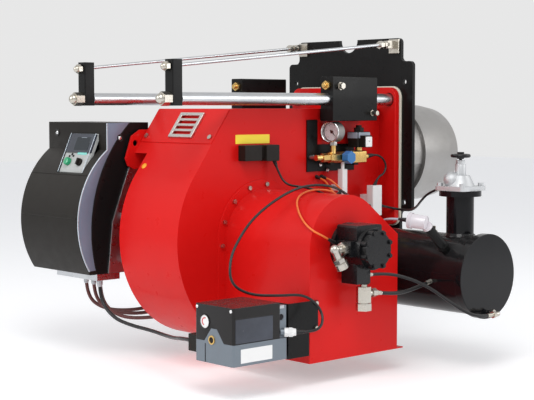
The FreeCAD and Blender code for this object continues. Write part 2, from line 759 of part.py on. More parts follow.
def make_motor_flange():
    disc = cyl((FAN_X, SCROLL_FAR_Y, FAN_Z), AY, MOTOR_FLANGE_R, MOTOR_FLANGE_T)
    return disc.cut(cyl((FAN_X, SCROLL_FAR_Y, FAN_Z), AY, SHAFT_R + 6, MOTOR_FLANGE_T))


TERMINAL_BOX = round_rim(box(FAN_X - 48, FAN_X + 48, SCROLL_FAR_Y + 90, SCROLL_FAR_Y + 190,
                             FAN_Z + MOTOR_R - FIN_H - 4, FAN_Z + MOTOR_R + 46), 6,
                         lambda e: abs(e.tangentAt(0).z) > 0.99)
TERMINAL_BOX = TERMINAL_BOX.cut(cyl((FAN_X, SCROLL_FAR_Y, FAN_Z), AY, MOTOR_R - 1.9, 300))
node("fan_motor", group([make_motor(), make_motor_flange(), TERMINAL_BOX]))


# Oil gun, diffuser and electrodes in the head
GUN_TIP = 292.0
WALL_Y = -DUCT_HALF_Y
LINE_Y = WALL_Y - 44.0


def make_gun():
    """Oil gun: double pipe with a nozzle body at its tip."""
    pipe = cyl((GUN_REAR, 0, 0), AX, GUN_R, GUN_TIP - GUN_REAR)
    tip = Part.makeCone(GUN_R - 2, GUN_R * 0.5, 18, V(GUN_TIP, 0, 0), AX)
    feed = cyl((FEED_X, 0, LINE_Z), V(0, -1, 0), FEED_R, -LINE_Y - 10)
    return join([pipe, tip, feed])


node("oil_gun", make_gun())
SUPPORT_X = -130.0
ROD_OFFSET = 62.0
ROD_R = 4.0


def make_gun_support():
    """Cross bar in the duct that holds the gun and guides the diffuser rod."""
    bar = box(SUPPORT_X, SUPPORT_X + 14, -DUCT_HALF_Y + SHEET, DUCT_HALF_Y - SHEET, -12, 12)
    ring = cyl((SUPPORT_X, 0, 0), AX, GUN_R + 14, 14)
    post = box(SUPPORT_X, SUPPORT_X + 14, -10, 10, 0, ROD_OFFSET + 12)
    body = join([bar, ring, post])
    body = body.cut(cyl((SUPPORT_X, 0, 0), AX, GUN_R, 14))
    return body.cut(cyl((SUPPORT_X, 0, ROD_OFFSET), AX, ROD_R + SHAFT_FIT, 14))


def make_rear_support():
    """Bulkhead ring that holds the rear of the gun on the duct roof."""
    x = GUN_REAR + 60
    post = box(x, x + 14, -14, 14, 0, DUCT_TOP - SHEET)
    ring = cyl((x, 0, 0), AX, GUN_R + 14, 14)
    return join([post, ring]).cut(cyl((x, 0, 0), AX, GUN_R, 14))


node("gun_supports", group([make_gun_support(), make_rear_support()]))
SPOKE_IN = 60.0
DIFFUSER_T = 3.0


def make_diffuser():
    """Diffuser disc with swirl slots, three spokes and the hub that slides on the gun."""
    x = DIFFUSER_X - DIFFUSER_TRAVEL
    disc = tube((x, 0, 0), AX, DIFFUSER_R, SPOKE_IN, DIFFUSER_T)
    for k in range(VANE_COUNT):
        slot = box(x, x + DIFFUSER_T, -3.5, 3.5, SPOKE_IN + 10, DIFFUSER_R - 8)
        slot.rotate(V(x, 0, (SPOKE_IN + DIFFUSER_R) / 2), AX, 28)
        slot.rotate(V(0, 0, 0), AX, 360.0 / VANE_COUNT * k + 15)
        disc = disc.cut(slot)
    rim = tube((x, 0, 0), AX, DIFFUSER_R, DIFFUSER_R - 3, 18)
    hub = tube((x - 22, 0, 0), AX, GUN_R + 9, GUN_R + SLIDE_FIT, 30)
    pieces = [disc, rim, hub]
    for k in range(3):
        spoke = box(x - 4, x + DIFFUSER_T, -5, 5, GUN_R + 4, SPOKE_IN + 6)
        spoke.rotate(V(0, 0, 0), AX, 120 * k)
        pieces.append(spoke)
    return join(pieces)


def make_diffuser_rod():
    """Push rod of the diffuser with its fork at the rear."""
    x = DIFFUSER_X - DIFFUSER_TRAVEL
    rod = cyl((-300, 0, ROD_OFFSET), AX, ROD_R, x + 300)
    block = box(-316, -300, -8, 8, ROD_OFFSET - 8, ROD_OFFSET + 8)
    return join([rod, block])


node("diffuser", join([make_diffuser(), make_diffuser_rod()]))


def make_electrodes():
    """Two ignition electrodes in porcelain sleeves on a clamp round the gun."""
    x = 150.0
    pieces = []
    for side in (-1, 1):
        y = side * 20
        sleeve = cyl((x, y, 44), AX, 7, 90)
        wire = cyl((x + 90, y, 44), AX, 1.6, 96)
        pieces.append(join([sleeve, wire]))
    return pieces


def make_electrode_clamp():
    x = 170.0
    ring = cyl((x, 0, 0), AX, GUN_R + 6, 16)
    bar = box(x, x + 16, -32, 32, 16, 56)
    clamp = join([ring, bar]).cut(cyl((x, 0, 0), AX, GUN_R, 16))
    for side in (-1, 1):
        clamp = clamp.cut(cyl((x, side * 20, 44), AX, 7, 16))
    return clamp


node("ignition_electrodes", group(make_electrodes() + [make_electrode_clamp()]))

# Oil pump and its fittings
PUMP_FACE = INTAKE_FRONT_Y - PUMP_FOOT_T
PUMP_END = PUMP_FACE - PUMP_L
PUMP_COVER_T = 20.0
PUMP_COVER_R = 54.0
SUCTION = (FAN_X + 14, PUMP_END + 58, FAN_Z - 84)
SUCTION_NUT_T = 16.0


def make_pump():
    """Gear pump casting: foot with bolt ears, round body, port block and drain neck."""
    foot = cyl((FAN_X, PUMP_FACE, FAN_Z), AY, PUMP_FOOT_R, PUMP_FOOT_T)
    body = cyl((FAN_X, PUMP_END, FAN_Z), AY, PUMP_R, PUMP_L)
    top = box(FAN_X - 58, FAN_X + 50, PUMP_END + 14, PUMP_FACE, FAN_Z + 20, FAN_Z + PUMP_R + 10)
    top = round_rim(top, 8, lambda e: abs(e.tangentAt(0).y) > 0.99)
    port = box(FAN_X - PUMP_R - 16, FAN_X, PUMP_END + 20, PUMP_END + 68, FAN_Z - 20, FAN_Z + 26)
    foot_port = box(FAN_X - 44, FAN_X + 14, PUMP_END + 26, PUMP_FACE - 6, FAN_Z - PUMP_R - 42, FAN_Z)
    neck = cyl((FAN_X + 6, PUMP_END + 46, FAN_Z - PUMP_R - 46), AZ, 17, 60)
    suction = hexagon(SUCTION, AX, 22, SUCTION_NUT_T)
    pump = join([foot, body, top, port, foot_port, neck, suction])
    return pump.cut(cyl((FAN_X, SHAFT_Y0, FAN_Z), AY, 9 + SHAFT_FIT, INTAKE_FRONT_Y - SHAFT_Y0 + 1))


node("oil_pump", make_pump())


def make_pump_cover():
    """End cover of the pump with eight screw bosses."""
    cover = cyl((FAN_X, PUMP_END - PUMP_COVER_T, FAN_Z), AY, PUMP_COVER_R, PUMP_COVER_T)
    pieces = [cover]
    for k in range(8):
        x, z = polar(PUMP_COVER_R - 2, 45 * k + 22.5)
        pieces.append(cyl((x, PUMP_END - PUMP_COVER_T, z), AY, 9, PUMP_COVER_T))
        pieces.append(hexagon((x, PUMP_END - PUMP_COVER_T - 6, z), AY, 11, 6))
    return join(pieces)


node("pump_cover", make_pump_cover())
ELBOW_X = FAN_X - PUMP_R - 16 - 42


def make_elbow():
    """Steel elbow and union on the delivery port of the pump, its leg leaning outwards."""
    y = PUMP_END + 44
    z = FAN_Z + 4
    start = FAN_X - PUMP_R - 16
    leg = V(0.42, -0.12, -0.9).normalize()
    turn = V(ELBOW_X, y, z)
    nut = hexagon((start, y, z), V(-1, 0, 0), 36, 16)
    pipe = cyl((start - 16, y, z), V(-1, 0, 0), 12, 26)
    bend = Part.makeSphere(15, turn)
    drop = cyl(tuple(turn), leg, 12, 30)
    union = hexagon(tuple(turn + leg * 30), leg, 32, 14)
    flange = cyl(tuple(turn + leg * 44), leg, 21, 18)
    return join([nut, pipe, bend, drop, union, flange])


VALVE_Y = PUMP_END + 46
VALVE_TOP = FAN_Z - PUMP_R - 46


def make_drain_valve():
    """Hexagon valve under the pump with its hose tail towards +X."""
    x = FAN_X + 6
    nipple = cyl((x, VALVE_Y, VALVE_TOP - 8), AZ, 11, 8)
    body = hexagon((x, VALVE_Y, VALVE_TOP - 56), AZ, 40, 48)
    foot = hexagon((x, VALVE_Y, VALVE_TOP - 80), AZ, 42, 22)
    neck = cyl((x, VALVE_Y, VALVE_TOP - 60), AZ, 15, 8)
    tail = cyl((x, VALVE_Y, VALVE_TOP - 30), AX, 9, 34)
    nut = hexagon((x + 34, VALVE_Y, VALVE_TOP - 30), AX, 24, 18)
    return join([nipple, body, foot, neck, tail, nut])


FITTINGS = [make_elbow(), make_drain_valve()]

# Damper actuator on its bracket
SHAFT_LINE_Y = DAMPER_LEVELS[0]
GLAND_FOOT = V(SERVO_X1 - 18, SERVO_Y0 + 10, -476)
GLAND_DIR = V(0.75, -0.66, 0).normalize()
GLAND_L = 44.0


def make_servo_base():
    """Grey gear casing with a rib on the rear face and a raised peak under the hood."""
    base = box(SERVO_X0, SERVO_X1, SERVO_Y0, SERVO_Y1, SERVO_Z0, SERVO_SPLIT_Z)
    base = round_rim(base, 7, lambda e: abs(e.tangentAt(0).z) > 0.99)
    end = box(SERVO_X1 - 26, SERVO_X1, SERVO_Y0 + 6, SERVO_Y1 - 6, SERVO_SPLIT_Z, SERVO_Z1 - 10)
    mid = (SERVO_Y0 + SERVO_Y1) / 2
    peak = [V(SERVO_X0, mid - 42, SERVO_SPLIT_Z), V(SERVO_X0, mid + 42, SERVO_SPLIT_Z),
            V(SERVO_X0, mid + 12, SERVO_SPLIT_Z + 38), V(SERVO_X0, mid - 12, SERVO_SPLIT_Z + 38)]
    rise = Part.Face(Part.makePolygon(peak + [peak[0]])).extrude(V(24, 0, 0))
    body = join([base, end, rise, cyl(tuple(GLAND_FOOT), GLAND_DIR, 10, GLAND_L)])
    bore = cyl((SERVO_X1 - 26, SHAFT_LINE_Y, DAMPER_Z), AX, DAMPER_ROD_R + SHAFT_FIT, 26)
    return body.cut(bore)


def make_servo_hood():
    """Black hood over the casing, hollow, with the notch for the peak."""
    hood = box(SERVO_X0, SERVO_X1 - 26 - FACE_GAP, SERVO_Y0, SERVO_Y1, SERVO_SPLIT_Z, SERVO_Z1)
    hood = round_rim(hood, 7, lambda e: abs(e.tangentAt(0).z) > 0.99)
    w = SERVO_WALL
    hood = hood.cut(box(SERVO_X0 + 25, SERVO_X1 - 32, SERVO_Y0 + w, SERVO_Y1 - w, SERVO_SPLIT_Z,
                        SERVO_Z1 - w))
    mid = (SERVO_Y0 + SERVO_Y1) / 2
    notch = [V(SERVO_X0 - 1, mid - 42, SERVO_SPLIT_Z), V(SERVO_X0 - 1, mid + 42, SERVO_SPLIT_Z),
             V(SERVO_X0 - 1, mid + 12, SERVO_SPLIT_Z + 38), V(SERVO_X0 - 1, mid - 12, SERVO_SPLIT_Z + 38)]
    return hood.cut(Part.Face(Part.makePolygon(notch + [notch[0]])).extrude(V(25, 0, 0)))


node("servo_casing", make_servo_base())
node("servo_hood", make_servo_hood())
BRACKET_X0 = SERVO_X1 + CAM_T + 14


def make_servo_bracket():
    """Bent bracket: upright behind the cam and the leaf that bolts to the intake casing."""
    leaf = box(BRACKET_X0, -728, INTAKE_FRONT_Y - 6, INTAKE_FRONT_Y, -490, -400)
    low = box(BRACKET_X0, -765, INTAKE_FRONT_Y - 6, INTAKE_FRONT_Y, -562, -490)
    upright = box(BRACKET_X0, BRACKET_X0 + 6, INTAKE_FRONT_Y - 6, SERVO_Y1, -562, -400)
    body = join([leaf, low, upright])
    for y, z in ((SERVO_Y1 - 12, -412), (SERVO_Y1 - 12, -548)):
        body = body.fuse(cyl((SERVO_X1, y, z), AX, 7, BRACKET_X0 - SERVO_X1))
    body = body.fuse(cyl((SERVO_X1, INTAKE_FRONT_Y + 10, -548), AX, 7, BRACKET_X0 - SERVO_X1))
    return body.removeSplitter().cut(cyl((BRACKET_X0, SHAFT_LINE_Y, DAMPER_Z), AX, DAMPER_ROD_R + 3, 6))


node("servo_bracket", make_servo_bracket())
BRACKET_SCREWS = [hexagon((-738, INTAKE_FRONT_Y - 12, z), AY, 13, 6) for z in (-408, -482)]
HOUSING_SCREWS = make_block_screws() + make_cover_screws() + make_flange_bolts()
node("machine_screws", group(HOUSING_SCREWS + BRACKET_SCREWS))


def make_cam():
    """Cam disc on the actuator shaft, with the shaft that reaches the front damper spindle."""
    disc = cyl((SERVO_X1 + 4, SHAFT_LINE_Y, DAMPER_Z), AX, CAM_R, CAM_T)
    disc = disc.cut(box(SERVO_X1, BRACKET_X0, SHAFT_LINE_Y + 24, SHAFT_LINE_Y + 60, DAMPER_Z - 60,
                        DAMPER_Z + 60))
    stub = cyl((SERVO_X1 - 24, SHAFT_LINE_Y, DAMPER_Z), AX, DAMPER_ROD_R, INTAKE_X0 - 34 - SERVO_X1 + 24)
    sleeve = cyl((INTAKE_X0 - 50, SHAFT_LINE_Y, DAMPER_Z), AX, 11, CRANK_X0 - INTAKE_X0 + 50)
    return join([disc, stub, sleeve])


node("cam_disc", make_cam())
LINK_X = INTAKE_X0 - 34.0


def crank_pin(y):
    """Pin centre of a damper crank at rest, which leans 45 degrees towards the housing."""
    return (y - CRANK_REACH * math.cos(math.pi / 4), DAMPER_Z + CRANK_REACH * math.sin(math.pi / 4))


def make_link():
    """Bar that joins the two damper cranks; its far hole is the opened pivot."""
    y0, z = crank_pin(DAMPER_LEVELS[0])
    y1, _ = crank_pin(DAMPER_LEVELS[1])
    bar = box(LINK_X + 0.5, LINK_X + 5.5, y0, y1, z - 9, z + 9)
    bar = join([bar, cyl((LINK_X + 0.5, y0, z), AX, 9, 5), cyl((LINK_X + 0.5, y1, z), AX, 9, 5)])
    bar = bar.cut(cyl((LINK_X, y0, z), AX, 4 + SHAFT_FIT, 6))
    return bar.cut(cyl((LINK_X, y1, z), AX, 4 + 1.0, 6))


node("damper_link", make_link())

# Preheater tank under the duct


def make_tank():
    """Tank barrel with the neck for the strainer, open at both ends for its caps."""
    y0 = TANK_FRONT_Y + TANK_CAP_T
    length = TANK_BACK_Y - TANK_CAP_T - y0
    barrel = cyl((TANK_X, y0, TANK_Z), AY, TANK_R, length)
    neck = cyl((TANK_X, NECK_Y, TANK_Z), AZ, NECK_R, NECK_TOP - NECK_FLANGE_T - TANK_Z)
    flange = cyl((TANK_X, NECK_Y, NECK_TOP - NECK_FLANGE_T), AZ, NECK_FLANGE_R, NECK_FLANGE_T)
    collar = Part.makeCone(NECK_R + 6, NECK_R, 10, V(TANK_X, NECK_Y, TANK_Z + TANK_R - 6), AZ)
    body = join([barrel, neck, flange, collar])
    body = body.cut(cyl((TANK_X, y0, TANK_Z), AY, TANK_R - TANK_WALL, length))
    return body.cut(cyl((TANK_X, NECK_Y, TANK_Z + 60), AZ, NECK_R - 5, NECK_TOP - TANK_Z - 60))


node("preheater_tank", make_tank())


def make_front_cap():
    """Heavy front cap with the heating elements that reach into the tank."""
    cap = cyl((TANK_X, TANK_FRONT_Y, TANK_Z), AY, TANK_CAP_R, TANK_CAP_T)
    cap = cap.fuse(tube((TANK_X, TANK_FRONT_Y + TANK_CAP_T, TANK_Z), AY, TANK_CAP_R, TANK_R + 0.2, 10))
    drain = cyl((TANK_X, TANK_FRONT_Y - 16, TANK_Z - TANK_CAP_R + 20), AY, 9, 16)
    return cap.fuse(drain).removeSplitter()


def make_heaters():
    """Three heating elements fixed in the front cap."""
    y0 = TANK_FRONT_Y + TANK_CAP_T
    length = TANK_BACK_Y - TANK_FRONT_Y - 120
    found = []
    for k in range(3):
        x, z = polar(62, 90 + 120 * k, (TANK_X, TANK_Z))
        found.append(cyl((x, y0, z), AY, 13, length))
    return found


node("heating_elements", group(make_heaters()))


def make_rear_cap():
    """Dished rear end of the tank."""
    y = TANK_BACK_Y - TANK_CAP_T
    plate = cyl((TANK_X, y, TANK_Z), AY, TANK_R, 6)
    dish = Part.makeCone(TANK_R, TANK_R - 26, TANK_CAP_T - 6, V(TANK_X, y + 6, TANK_Z), AY)
    return join([plate, dish])


node("tank_caps", group([make_front_cap(), make_rear_cap()]))
SADDLE_Y = (-165.0, -45.0)


def make_saddle(y):
    """Saddle and band that hang the tank on the underside of the duct."""
    t = 14.0
    plate = box(TANK_X - 84, TANK_X + 84, y, y + t, TANK_Z, DUCT_BOTTOM)
    band = cyl((TANK_X, y, TANK_Z), AY, TANK_R + 6, t)
    body = join([plate, band])
    return body.cut(cyl((TANK_X, y, TANK_Z), AY, TANK_R + FACE_GAP, t))


node("tank_saddles", group([make_saddle(y) for y in SADDLE_Y]))


def make_strainer():
    """Bolted bonnet on the neck: square cover, side dome, stem guide."""
    base = box(TANK_X - 60, TANK_X + 60, NECK_Y - 60, NECK_Y + 60, NECK_TOP, NECK_TOP + 14)
    base = round_rim(base, 14, lambda e: abs(e.tangentAt(0).z) > 0.99)
    body = Part.makeCone(46, 30, 34, V(TANK_X, NECK_Y, NECK_TOP + 14), AZ)
    guide = cyl((TANK_X, NECK_Y, NECK_TOP + 48), AZ, 17, 36)
    gland = hexagon((TANK_X, NECK_Y, NECK_TOP + 84), AZ, 26, 12)
    dome = Part.makeSphere(26, V(TANK_X - 26, NECK_Y + 14, NECK_TOP + 34))
    pieces = [base, body, guide, gland, dome]
    for dx in (-46, 46):
        for dy in (-46, 46):
            pieces.append(hexagon((TANK_X + dx, NECK_Y + dy, NECK_TOP + 14), AZ, 17, 10))
    body = join(pieces)
    return body.cut(cyl((TANK_X, NECK_Y, NECK_TOP + 30), AZ, 5 + SHAFT_FIT, 80))


node("strainer_bonnet", make_strainer())
WHEEL_Z = NECK_TOP + 110.0


def make_handwheel():
    """Hand wheel with four spokes on the valve stem."""
    stem = cyl((TANK_X, NECK_Y, NECK_TOP + 40), AZ, 5, WHEEL_Z + 6 - NECK_TOP - 40)
    hub = cyl((TANK_X, NECK_Y, WHEEL_Z - 10), AZ, 11, 22)
    rim = Part.makeTorus(WHEEL_KNOB_R - 6, 6, V(TANK_X, NECK_Y, WHEEL_Z), AZ)
    pieces = [stem, hub, rim]
    for k in range(4):
        spoke = box(TANK_X, TANK_X + WHEEL_KNOB_R - 6, NECK_Y - 4, NECK_Y + 4, WHEEL_Z - 3, WHEEL_Z + 3)
        spoke.rotate(V(TANK_X, NECK_Y, 0), AZ, 90 * k + 20)
        pieces.append(spoke)
    return join(pieces)


node("valve_handwheel", make_handwheel())

# Thermostat on the tank, a slanted pocket with a round head
POCKET_FOOT = V(-252, -667, -284)
POCKET_DIR = V(-0.754, 0, 0.657).normalize()
POCKET_L = 128.0


def make_thermostat():
    """Black pocket welded on the tank with clamp ring, and the grey connection head."""
    pocket = cyl(tuple(POCKET_FOOT), POCKET_DIR, 15, POCKET_L)
    ring = cyl(tuple(POCKET_FOOT + POCKET_DIR * 26), POCKET_DIR, 19, 10)
    pocket = join([pocket, ring])
    return pocket.cut(cyl((TANK_X, TANK_FRONT_Y, TANK_Z), AY, TANK_R, TANK_BACK_Y - TANK_FRONT_Y))


def make_thermostat_head():
    start = POCKET_FOOT + POCKET_DIR * POCKET_L
    neck = cyl(tuple(start), POCKET_DIR, 17, 8)
    side = V(-0.35, 0.9, 0.1).normalize()
    head = cyl(tuple(start + POCKET_DIR * 24 - side * 8), side, 22, 46)
    lid = cyl(tuple(start + POCKET_DIR * 24 + side * 38), side, 25, 12)
    return join([neck, head, lid])


node("tank_thermostat", group([make_thermostat(), make_thermostat_head()]))

# Gauge, solenoid valve and manifold on the near wall of the duct


def make_manifold():
    """Brass manifold: long body, end fittings, gauge boss and outlet block."""
    body = hexagon((-340, LINE_Y, LINE_Z), AX, 32, 100)
    left = hexagon((-372, LINE_Y, LINE_Z), AX, 26, 32)
    left_pipe = cyl((-398, LINE_Y, LINE_Z), AX, 10, 26)
    block = box(-240, -176, LINE_Y - 20, LINE_Y + 20, LINE_Z - 20, LINE_Z + 20)
    block = round_rim(block, 5, lambda e: abs(e.tangentAt(0).x) > 0.99)
    boss = cyl((-318, LINE_Y, LINE_Z), AZ, 10, 40)
    riser = cyl((-194, LINE_Y, LINE_Z), AZ, 12, 32)
    end = cyl((-176, LINE_Y, LINE_Z), AX, 9, 22)
    body = join([body, left, left_pipe, block, boss, riser, end])
    body = body.cut(cyl((-276, LINE_Y - 40, LINE_Z), AY, 6 + SHAFT_FIT, 40))
    return body


node("valve_manifold", make_manifold())
VALVE_BRACKET = join([box(-400, -176, WALL_Y - 5, WALL_Y, -44, 46),
                      box(-400, -352, WALL_Y - 5, WALL_Y, 46, 128),
                      box(-330, -310, LINE_Y, WALL_Y, LINE_Z - 24, LINE_Z - 14),
                      box(-216, -196, LINE_Y, WALL_Y, LINE_Z - 28, LINE_Z - 20)])
VALVE_BRACKET = VALVE_BRACKET.cut(cyl((FEED_X, LINE_Y, LINE_Z), AY, FEED_R, WALL_Y - LINE_Y))
node("valve_bracket", VALVE_BRACKET.cut(make_manifold()))


def make_blue_knob():
    """Six sided hand knob of the pressure regulator, on its stem."""
    stem = cyl((-276, LINE_Y - 20, LINE_Z), AY, 6, 18)
    knob = hexagon((-276, LINE_Y - 46, LINE_Z), AY, 38, 26)
    knob = round_rim(knob, 4, lambda e: abs(e.tangentAt(0).y) > 0.99)
    return join([stem, knob])


node("regulator_knob", make_blue_knob())
GAUGE_TURN = math.radians(13)
GAUGE_DIR = V(-math.cos(GAUGE_TURN), -math.sin(GAUGE_TURN), 0)
GAUGE_R = 34.0
GAUGE_AT = V(-318, LINE_Y, 88)


def make_gauge():
    """Pressure gauge: case open in front, dial plate and stem with its nut."""
    back = GAUGE_AT - GAUGE_DIR * 20
    case = cyl(tuple(back), GAUGE_DIR, GAUGE_R, 40)
    case = case.cut(cyl(tuple(back + GAUGE_DIR * 24), GAUGE_DIR, GAUGE_R - 4, 16))
    stem = cyl((GAUGE_AT.x, GAUGE_AT.y, LINE_Z + 40), AZ, 8, 15)
    nut = hexagon((GAUGE_AT.x, GAUGE_AT.y, LINE_Z + 40), AZ, 22, 12)
    pivot = cyl(tuple(back + GAUGE_DIR * 24), GAUGE_DIR, 2, 3)
    return join([case, stem, nut, pivot])


node("pressure_gauge", make_gauge())


def make_needle():
    """Gauge needle on its pivot, pointing down left at zero."""
    seat = GAUGE_AT + GAUGE_DIR * 7.5
    hub = cyl(tuple(seat), GAUGE_DIR, 5, 3)
    side = GAUGE_DIR.cross(AZ)
    tip = (side * -0.7071 + AZ * -0.7071)
    across = GAUGE_DIR.cross(tip)
    corners = [seat + tip * 27, seat + across * 2.4 - tip * 8, seat - across * 2.4 - tip * 8]
    blade = Part.Face(Part.makePolygon(corners + [corners[0]])).extrude(GAUGE_DIR * 1.5)
    return join([hub, blade])


node("gauge_needle", make_needle())
GAUGE_PIVOT = GAUGE_AT + GAUGE_DIR * 7.5
print("gauge pivot", GAUGE_PIVOT, "axis", GAUGE_DIR)


def make_solenoid():
    """Solenoid coil with plug box and top nut on the riser of the manifold."""
    z0 = LINE_Z + 40
    coil = round_rim(box(-224, -164, LINE_Y - 25, LINE_Y + 25, z0 - 8, z0 + 44), 5,
                     lambda e: abs(e.tangentAt(0).z) > 0.99)
    nut = hexagon((-194, LINE_Y, z0 + 44), AZ, 30, 14)
    cap = cyl((-194, LINE_Y, z0 + 58), AZ, 10, 8)
    return join([coil, nut, cap])


SOLENOID_PLUG = round_rim(box(-216, -180, LINE_Y - 50, LINE_Y - 25, LINE_Z + 32, LINE_Z + 72), 4,
                          lambda e: abs(e.tangentAt(0).z) > 0.99)
node("solenoid_valve", group([make_solenoid(), SOLENOID_PLUG]))


def make_switches():
    """Two white switch boxes: a slim one and a wide one, each on its stand-off."""
    slim = round_rim(box(-288, -264, LINE_Y - 16, LINE_Y + 8, -134, LINE_Z - 40), 3,
                     lambda e: abs(e.tangentAt(0).z) > 0.99)
    slim = slim.fuse(box(-282, -270, LINE_Y + 8, WALL_Y, -110, -90))
    slim = slim.fuse(cyl((-276, LINE_Y - 4, LINE_Z - 40), AZ, 6, 40 - 16))
    wide = round_rim(box(-150, -104, LINE_Y - 26, LINE_Y + 4, -200, -97), 3,
                     lambda e: abs(e.tangentAt(0).z) > 0.99)
    wide = wide.fuse(box(-140, -114, LINE_Y + 4, WALL_Y, -170, -130))
    return [slim.cut(make_manifold()), wide]


node("pressure_switches", group(make_switches()))


def make_connector():
    """Two part plug connector on the near wall under the bare label."""
    left = round_rim(box(-700, -628, WALL_Y - 34, WALL_Y, 0, 50), 3, lambda e: abs(e.tangentAt(0).y) > 0.99)
    right = round_rim(box(-612, -556, WALL_Y - 38, WALL_Y, -2, 50), 3,
                      lambda e: abs(e.tangentAt(0).y) > 0.99)
    bridge = box(-628, -612, WALL_Y - 24, WALL_Y, 6, 44)
    return join([left, right, bridge])


def make_lug():
    """Lifting lug on the far side of the sloping back."""
    points = [(-770, 96), (-812, 96), (-846, 76), (-872, 2), (-862, -22), (-836, -34), (-808, -30),
              (-770, 40)]
    wires = [line_xz(points[k], points[(k + 1) % len(points)]) for k in range(len(points))]
    lug = prism_xz(wires, DUCT_HALF_Y, DUCT_HALF_Y + 8)
    return lug.cut(cyl((-832, DUCT_HALF_Y, 52), AY, 10, 8))


node("lifting_lug", make_lug())

# Control cabinet on the far side


def cabinet_front(inset):
    """Front curve of the moulded cover: upright top, step, then a bow down to the foot."""
    top = (CAB_FRONT + inset, CAB_TOP - inset)
    step = (CAB_FRONT + inset, CAB_STEP_Z)
    bow = (CAB_FRONT - CAB_BULGE + inset, -180.0)
    foot = (CAB_FRONT - 66 + inset, CAB_BOTTOM + inset)
    return top, step, bow, foot


JOINT_TOP_X = -838.0
JOINT_MID = (-992.0, -180.0)
JOINT_FOOT_X = -975.0


def joint_curve(reverse):
    """Parting curve between cover and case."""
    a, b = (JOINT_TOP_X, CAB_TOP), (JOINT_FOOT_X, CAB_BOTTOM)
    return arc_xz(b, JOINT_MID, a) if reverse else arc_xz(a, JOINT_MID, b)


def make_cabinet_cover():
    """Moulded front cover, hollow towards the case, with the bay for the control plate."""
    top, step, bow, foot = cabinet_front(0)
    solid = prism_xz([line_xz(top, step), arc_xz(step, bow, foot),
                      line_xz(foot, (JOINT_FOOT_X, CAB_BOTTOM)),
                      joint_curve(True), line_xz((JOINT_TOP_X, CAB_TOP), top)], CAB_Y0, CAB_Y1)
    w = CAB_WALL
    top, step, bow, foot = cabinet_front(w)
    hollow = prism_xz([line_xz(top, step), arc_xz(step, bow, foot), line_xz(foot, (-700, CAB_BOTTOM + w)),
                       line_xz((-700, CAB_BOTTOM + w), (-700, CAB_TOP - w)),
                       line_xz((-700, CAB_TOP - w), top)],
                      CAB_Y0 + w, CAB_Y1 - w)
    return solid.cut(hollow)


def make_cabinet_case():
    """Steel case behind the cover, open towards it."""
    solid = prism_xz([joint_curve(False), line_xz((JOINT_FOOT_X, CAB_BOTTOM), (CAB_BACK, CAB_BOTTOM)),
                      line_xz((CAB_BACK, CAB_BOTTOM), (CAB_BACK, CAB_TOP)),
                      line_xz((CAB_BACK, CAB_TOP), (JOINT_TOP_X, CAB_TOP))], CAB_Y0, CAB_Y1)
    w = CAB_WALL
    hollow = box(-1100, CAB_BACK - w, CAB_Y0 + w, CAB_Y1 - w, CAB_BOTTOM + w, CAB_TOP - w)
    return solid.cut(hollow)


BAY_A = V(CAB_FRONT - 7, 0, 86)
BAY_B = V(CAB_FRONT - 66, 0, -46)
BAY_Y0 = 240.0
BAY_Y1 = 384.0


def bay_box(y0, y1, back, front, start=0.0, end=1.0):
    """Slab along the slanted control bay between two depths."""
    run = BAY_B - BAY_A
    out = V(-run.z, 0, run.x).normalize()
    if out.x > 0:
        out = out * -1
    a = BAY_A + run * start + out * back + V(0, y0, 0)
    b = BAY_A + run * end + out * back + V(0, y0, 0)
    c = b + V(0, y1 - y0, 0)
    d = a + V(0, y1 - y0, 0)
    return Part.Face(Part.makePolygon([a, b, c, d, a])).extrude(out * (front - back))


cover = make_cabinet_cover().cut(bay_box(BAY_Y0, BAY_Y1, -34, 40))
node("cabinet_cover", cover)
node("cabinet_case", make_cabinet_case())
KNOB_Y = 282.0
LAMP_Y = 346.0
KNOB_AT = 0.72


def bay_point(y, along, depth):
    run = BAY_B - BAY_A
    out = V(-run.z, 0, run.x).normalize()
    if out.x > 0:
        out = out * -1
    return BAY_A + run * along + out * depth + V(0, y, 0), out


def make_fascia():
    """Control plate in the bay: frame, screen step and hole for the selector stem."""
    plate = bay_box(BAY_Y0, BAY_Y1, -18, -8)
    screen = bay_box(BAY_Y0 + 22, BAY_Y1 - 40, -8, -2, 0.08, 0.46)
    ledge = bay_box(BAY_Y0 + 4, BAY_Y1 - 4, -8, -4, 0.5, 0.97)
    lamp_seat, out = bay_point(LAMP_Y, KNOB_AT, -8)
    lamp = cyl(tuple(lamp_seat), out, 12, 16)
    body = join([plate, screen, ledge, lamp])
    seat, out = bay_point(KNOB_Y, KNOB_AT, -18)
    return body.cut(cyl(tuple(seat), out, 5 + SHAFT_FIT, 20))


node("control_plate", make_fascia())


def make_selector():
    """Selector switch knob with a grip bar and its stem."""
    seat, out = bay_point(KNOB_Y, KNOB_AT, -16)
    stem = cyl(tuple(seat), out, 5, 16)
    disc = cyl(tuple(seat + out * 12.3), out, 13, 6)
    run = (BAY_B - BAY_A).normalize()
    across = V(0, 1, 0)
    a = seat + out * 18.3 - run * 11 - across * 3.5
    grip = Part.Face(Part.makePolygon([a, a + run * 22, a + run * 22 + across * 7, a + across * 7, a]))
    print("selector pivot", seat, "axis", out)
    return join([stem, disc, grip.extrude(out * 9)])


node("selector_knob", make_selector())


def make_cabinet_bracket():
    """Side bracket that hangs the cabinet on the scroll, with three stand-off pipes."""
    points = [(-936, -372), (-918, -206), (-862, -60), (-820, 40), (-760, 40), (-740, -372)]
    wires = [line_xz(points[k], points[(k + 1) % len(points)]) for k in range(len(points))]
    plate = prism_xz(wires, CAB_Y0 - 6, CAB_Y0)
    pieces = [plate]
    for x, z in ((-860, -330), (-860, -190), (-778, -90)):
        pieces.append(cyl((x, SCROLL_FAR_Y, z), AY, 12, CAB_Y0 - 6 - SCROLL_FAR_Y))
    return join(pieces)


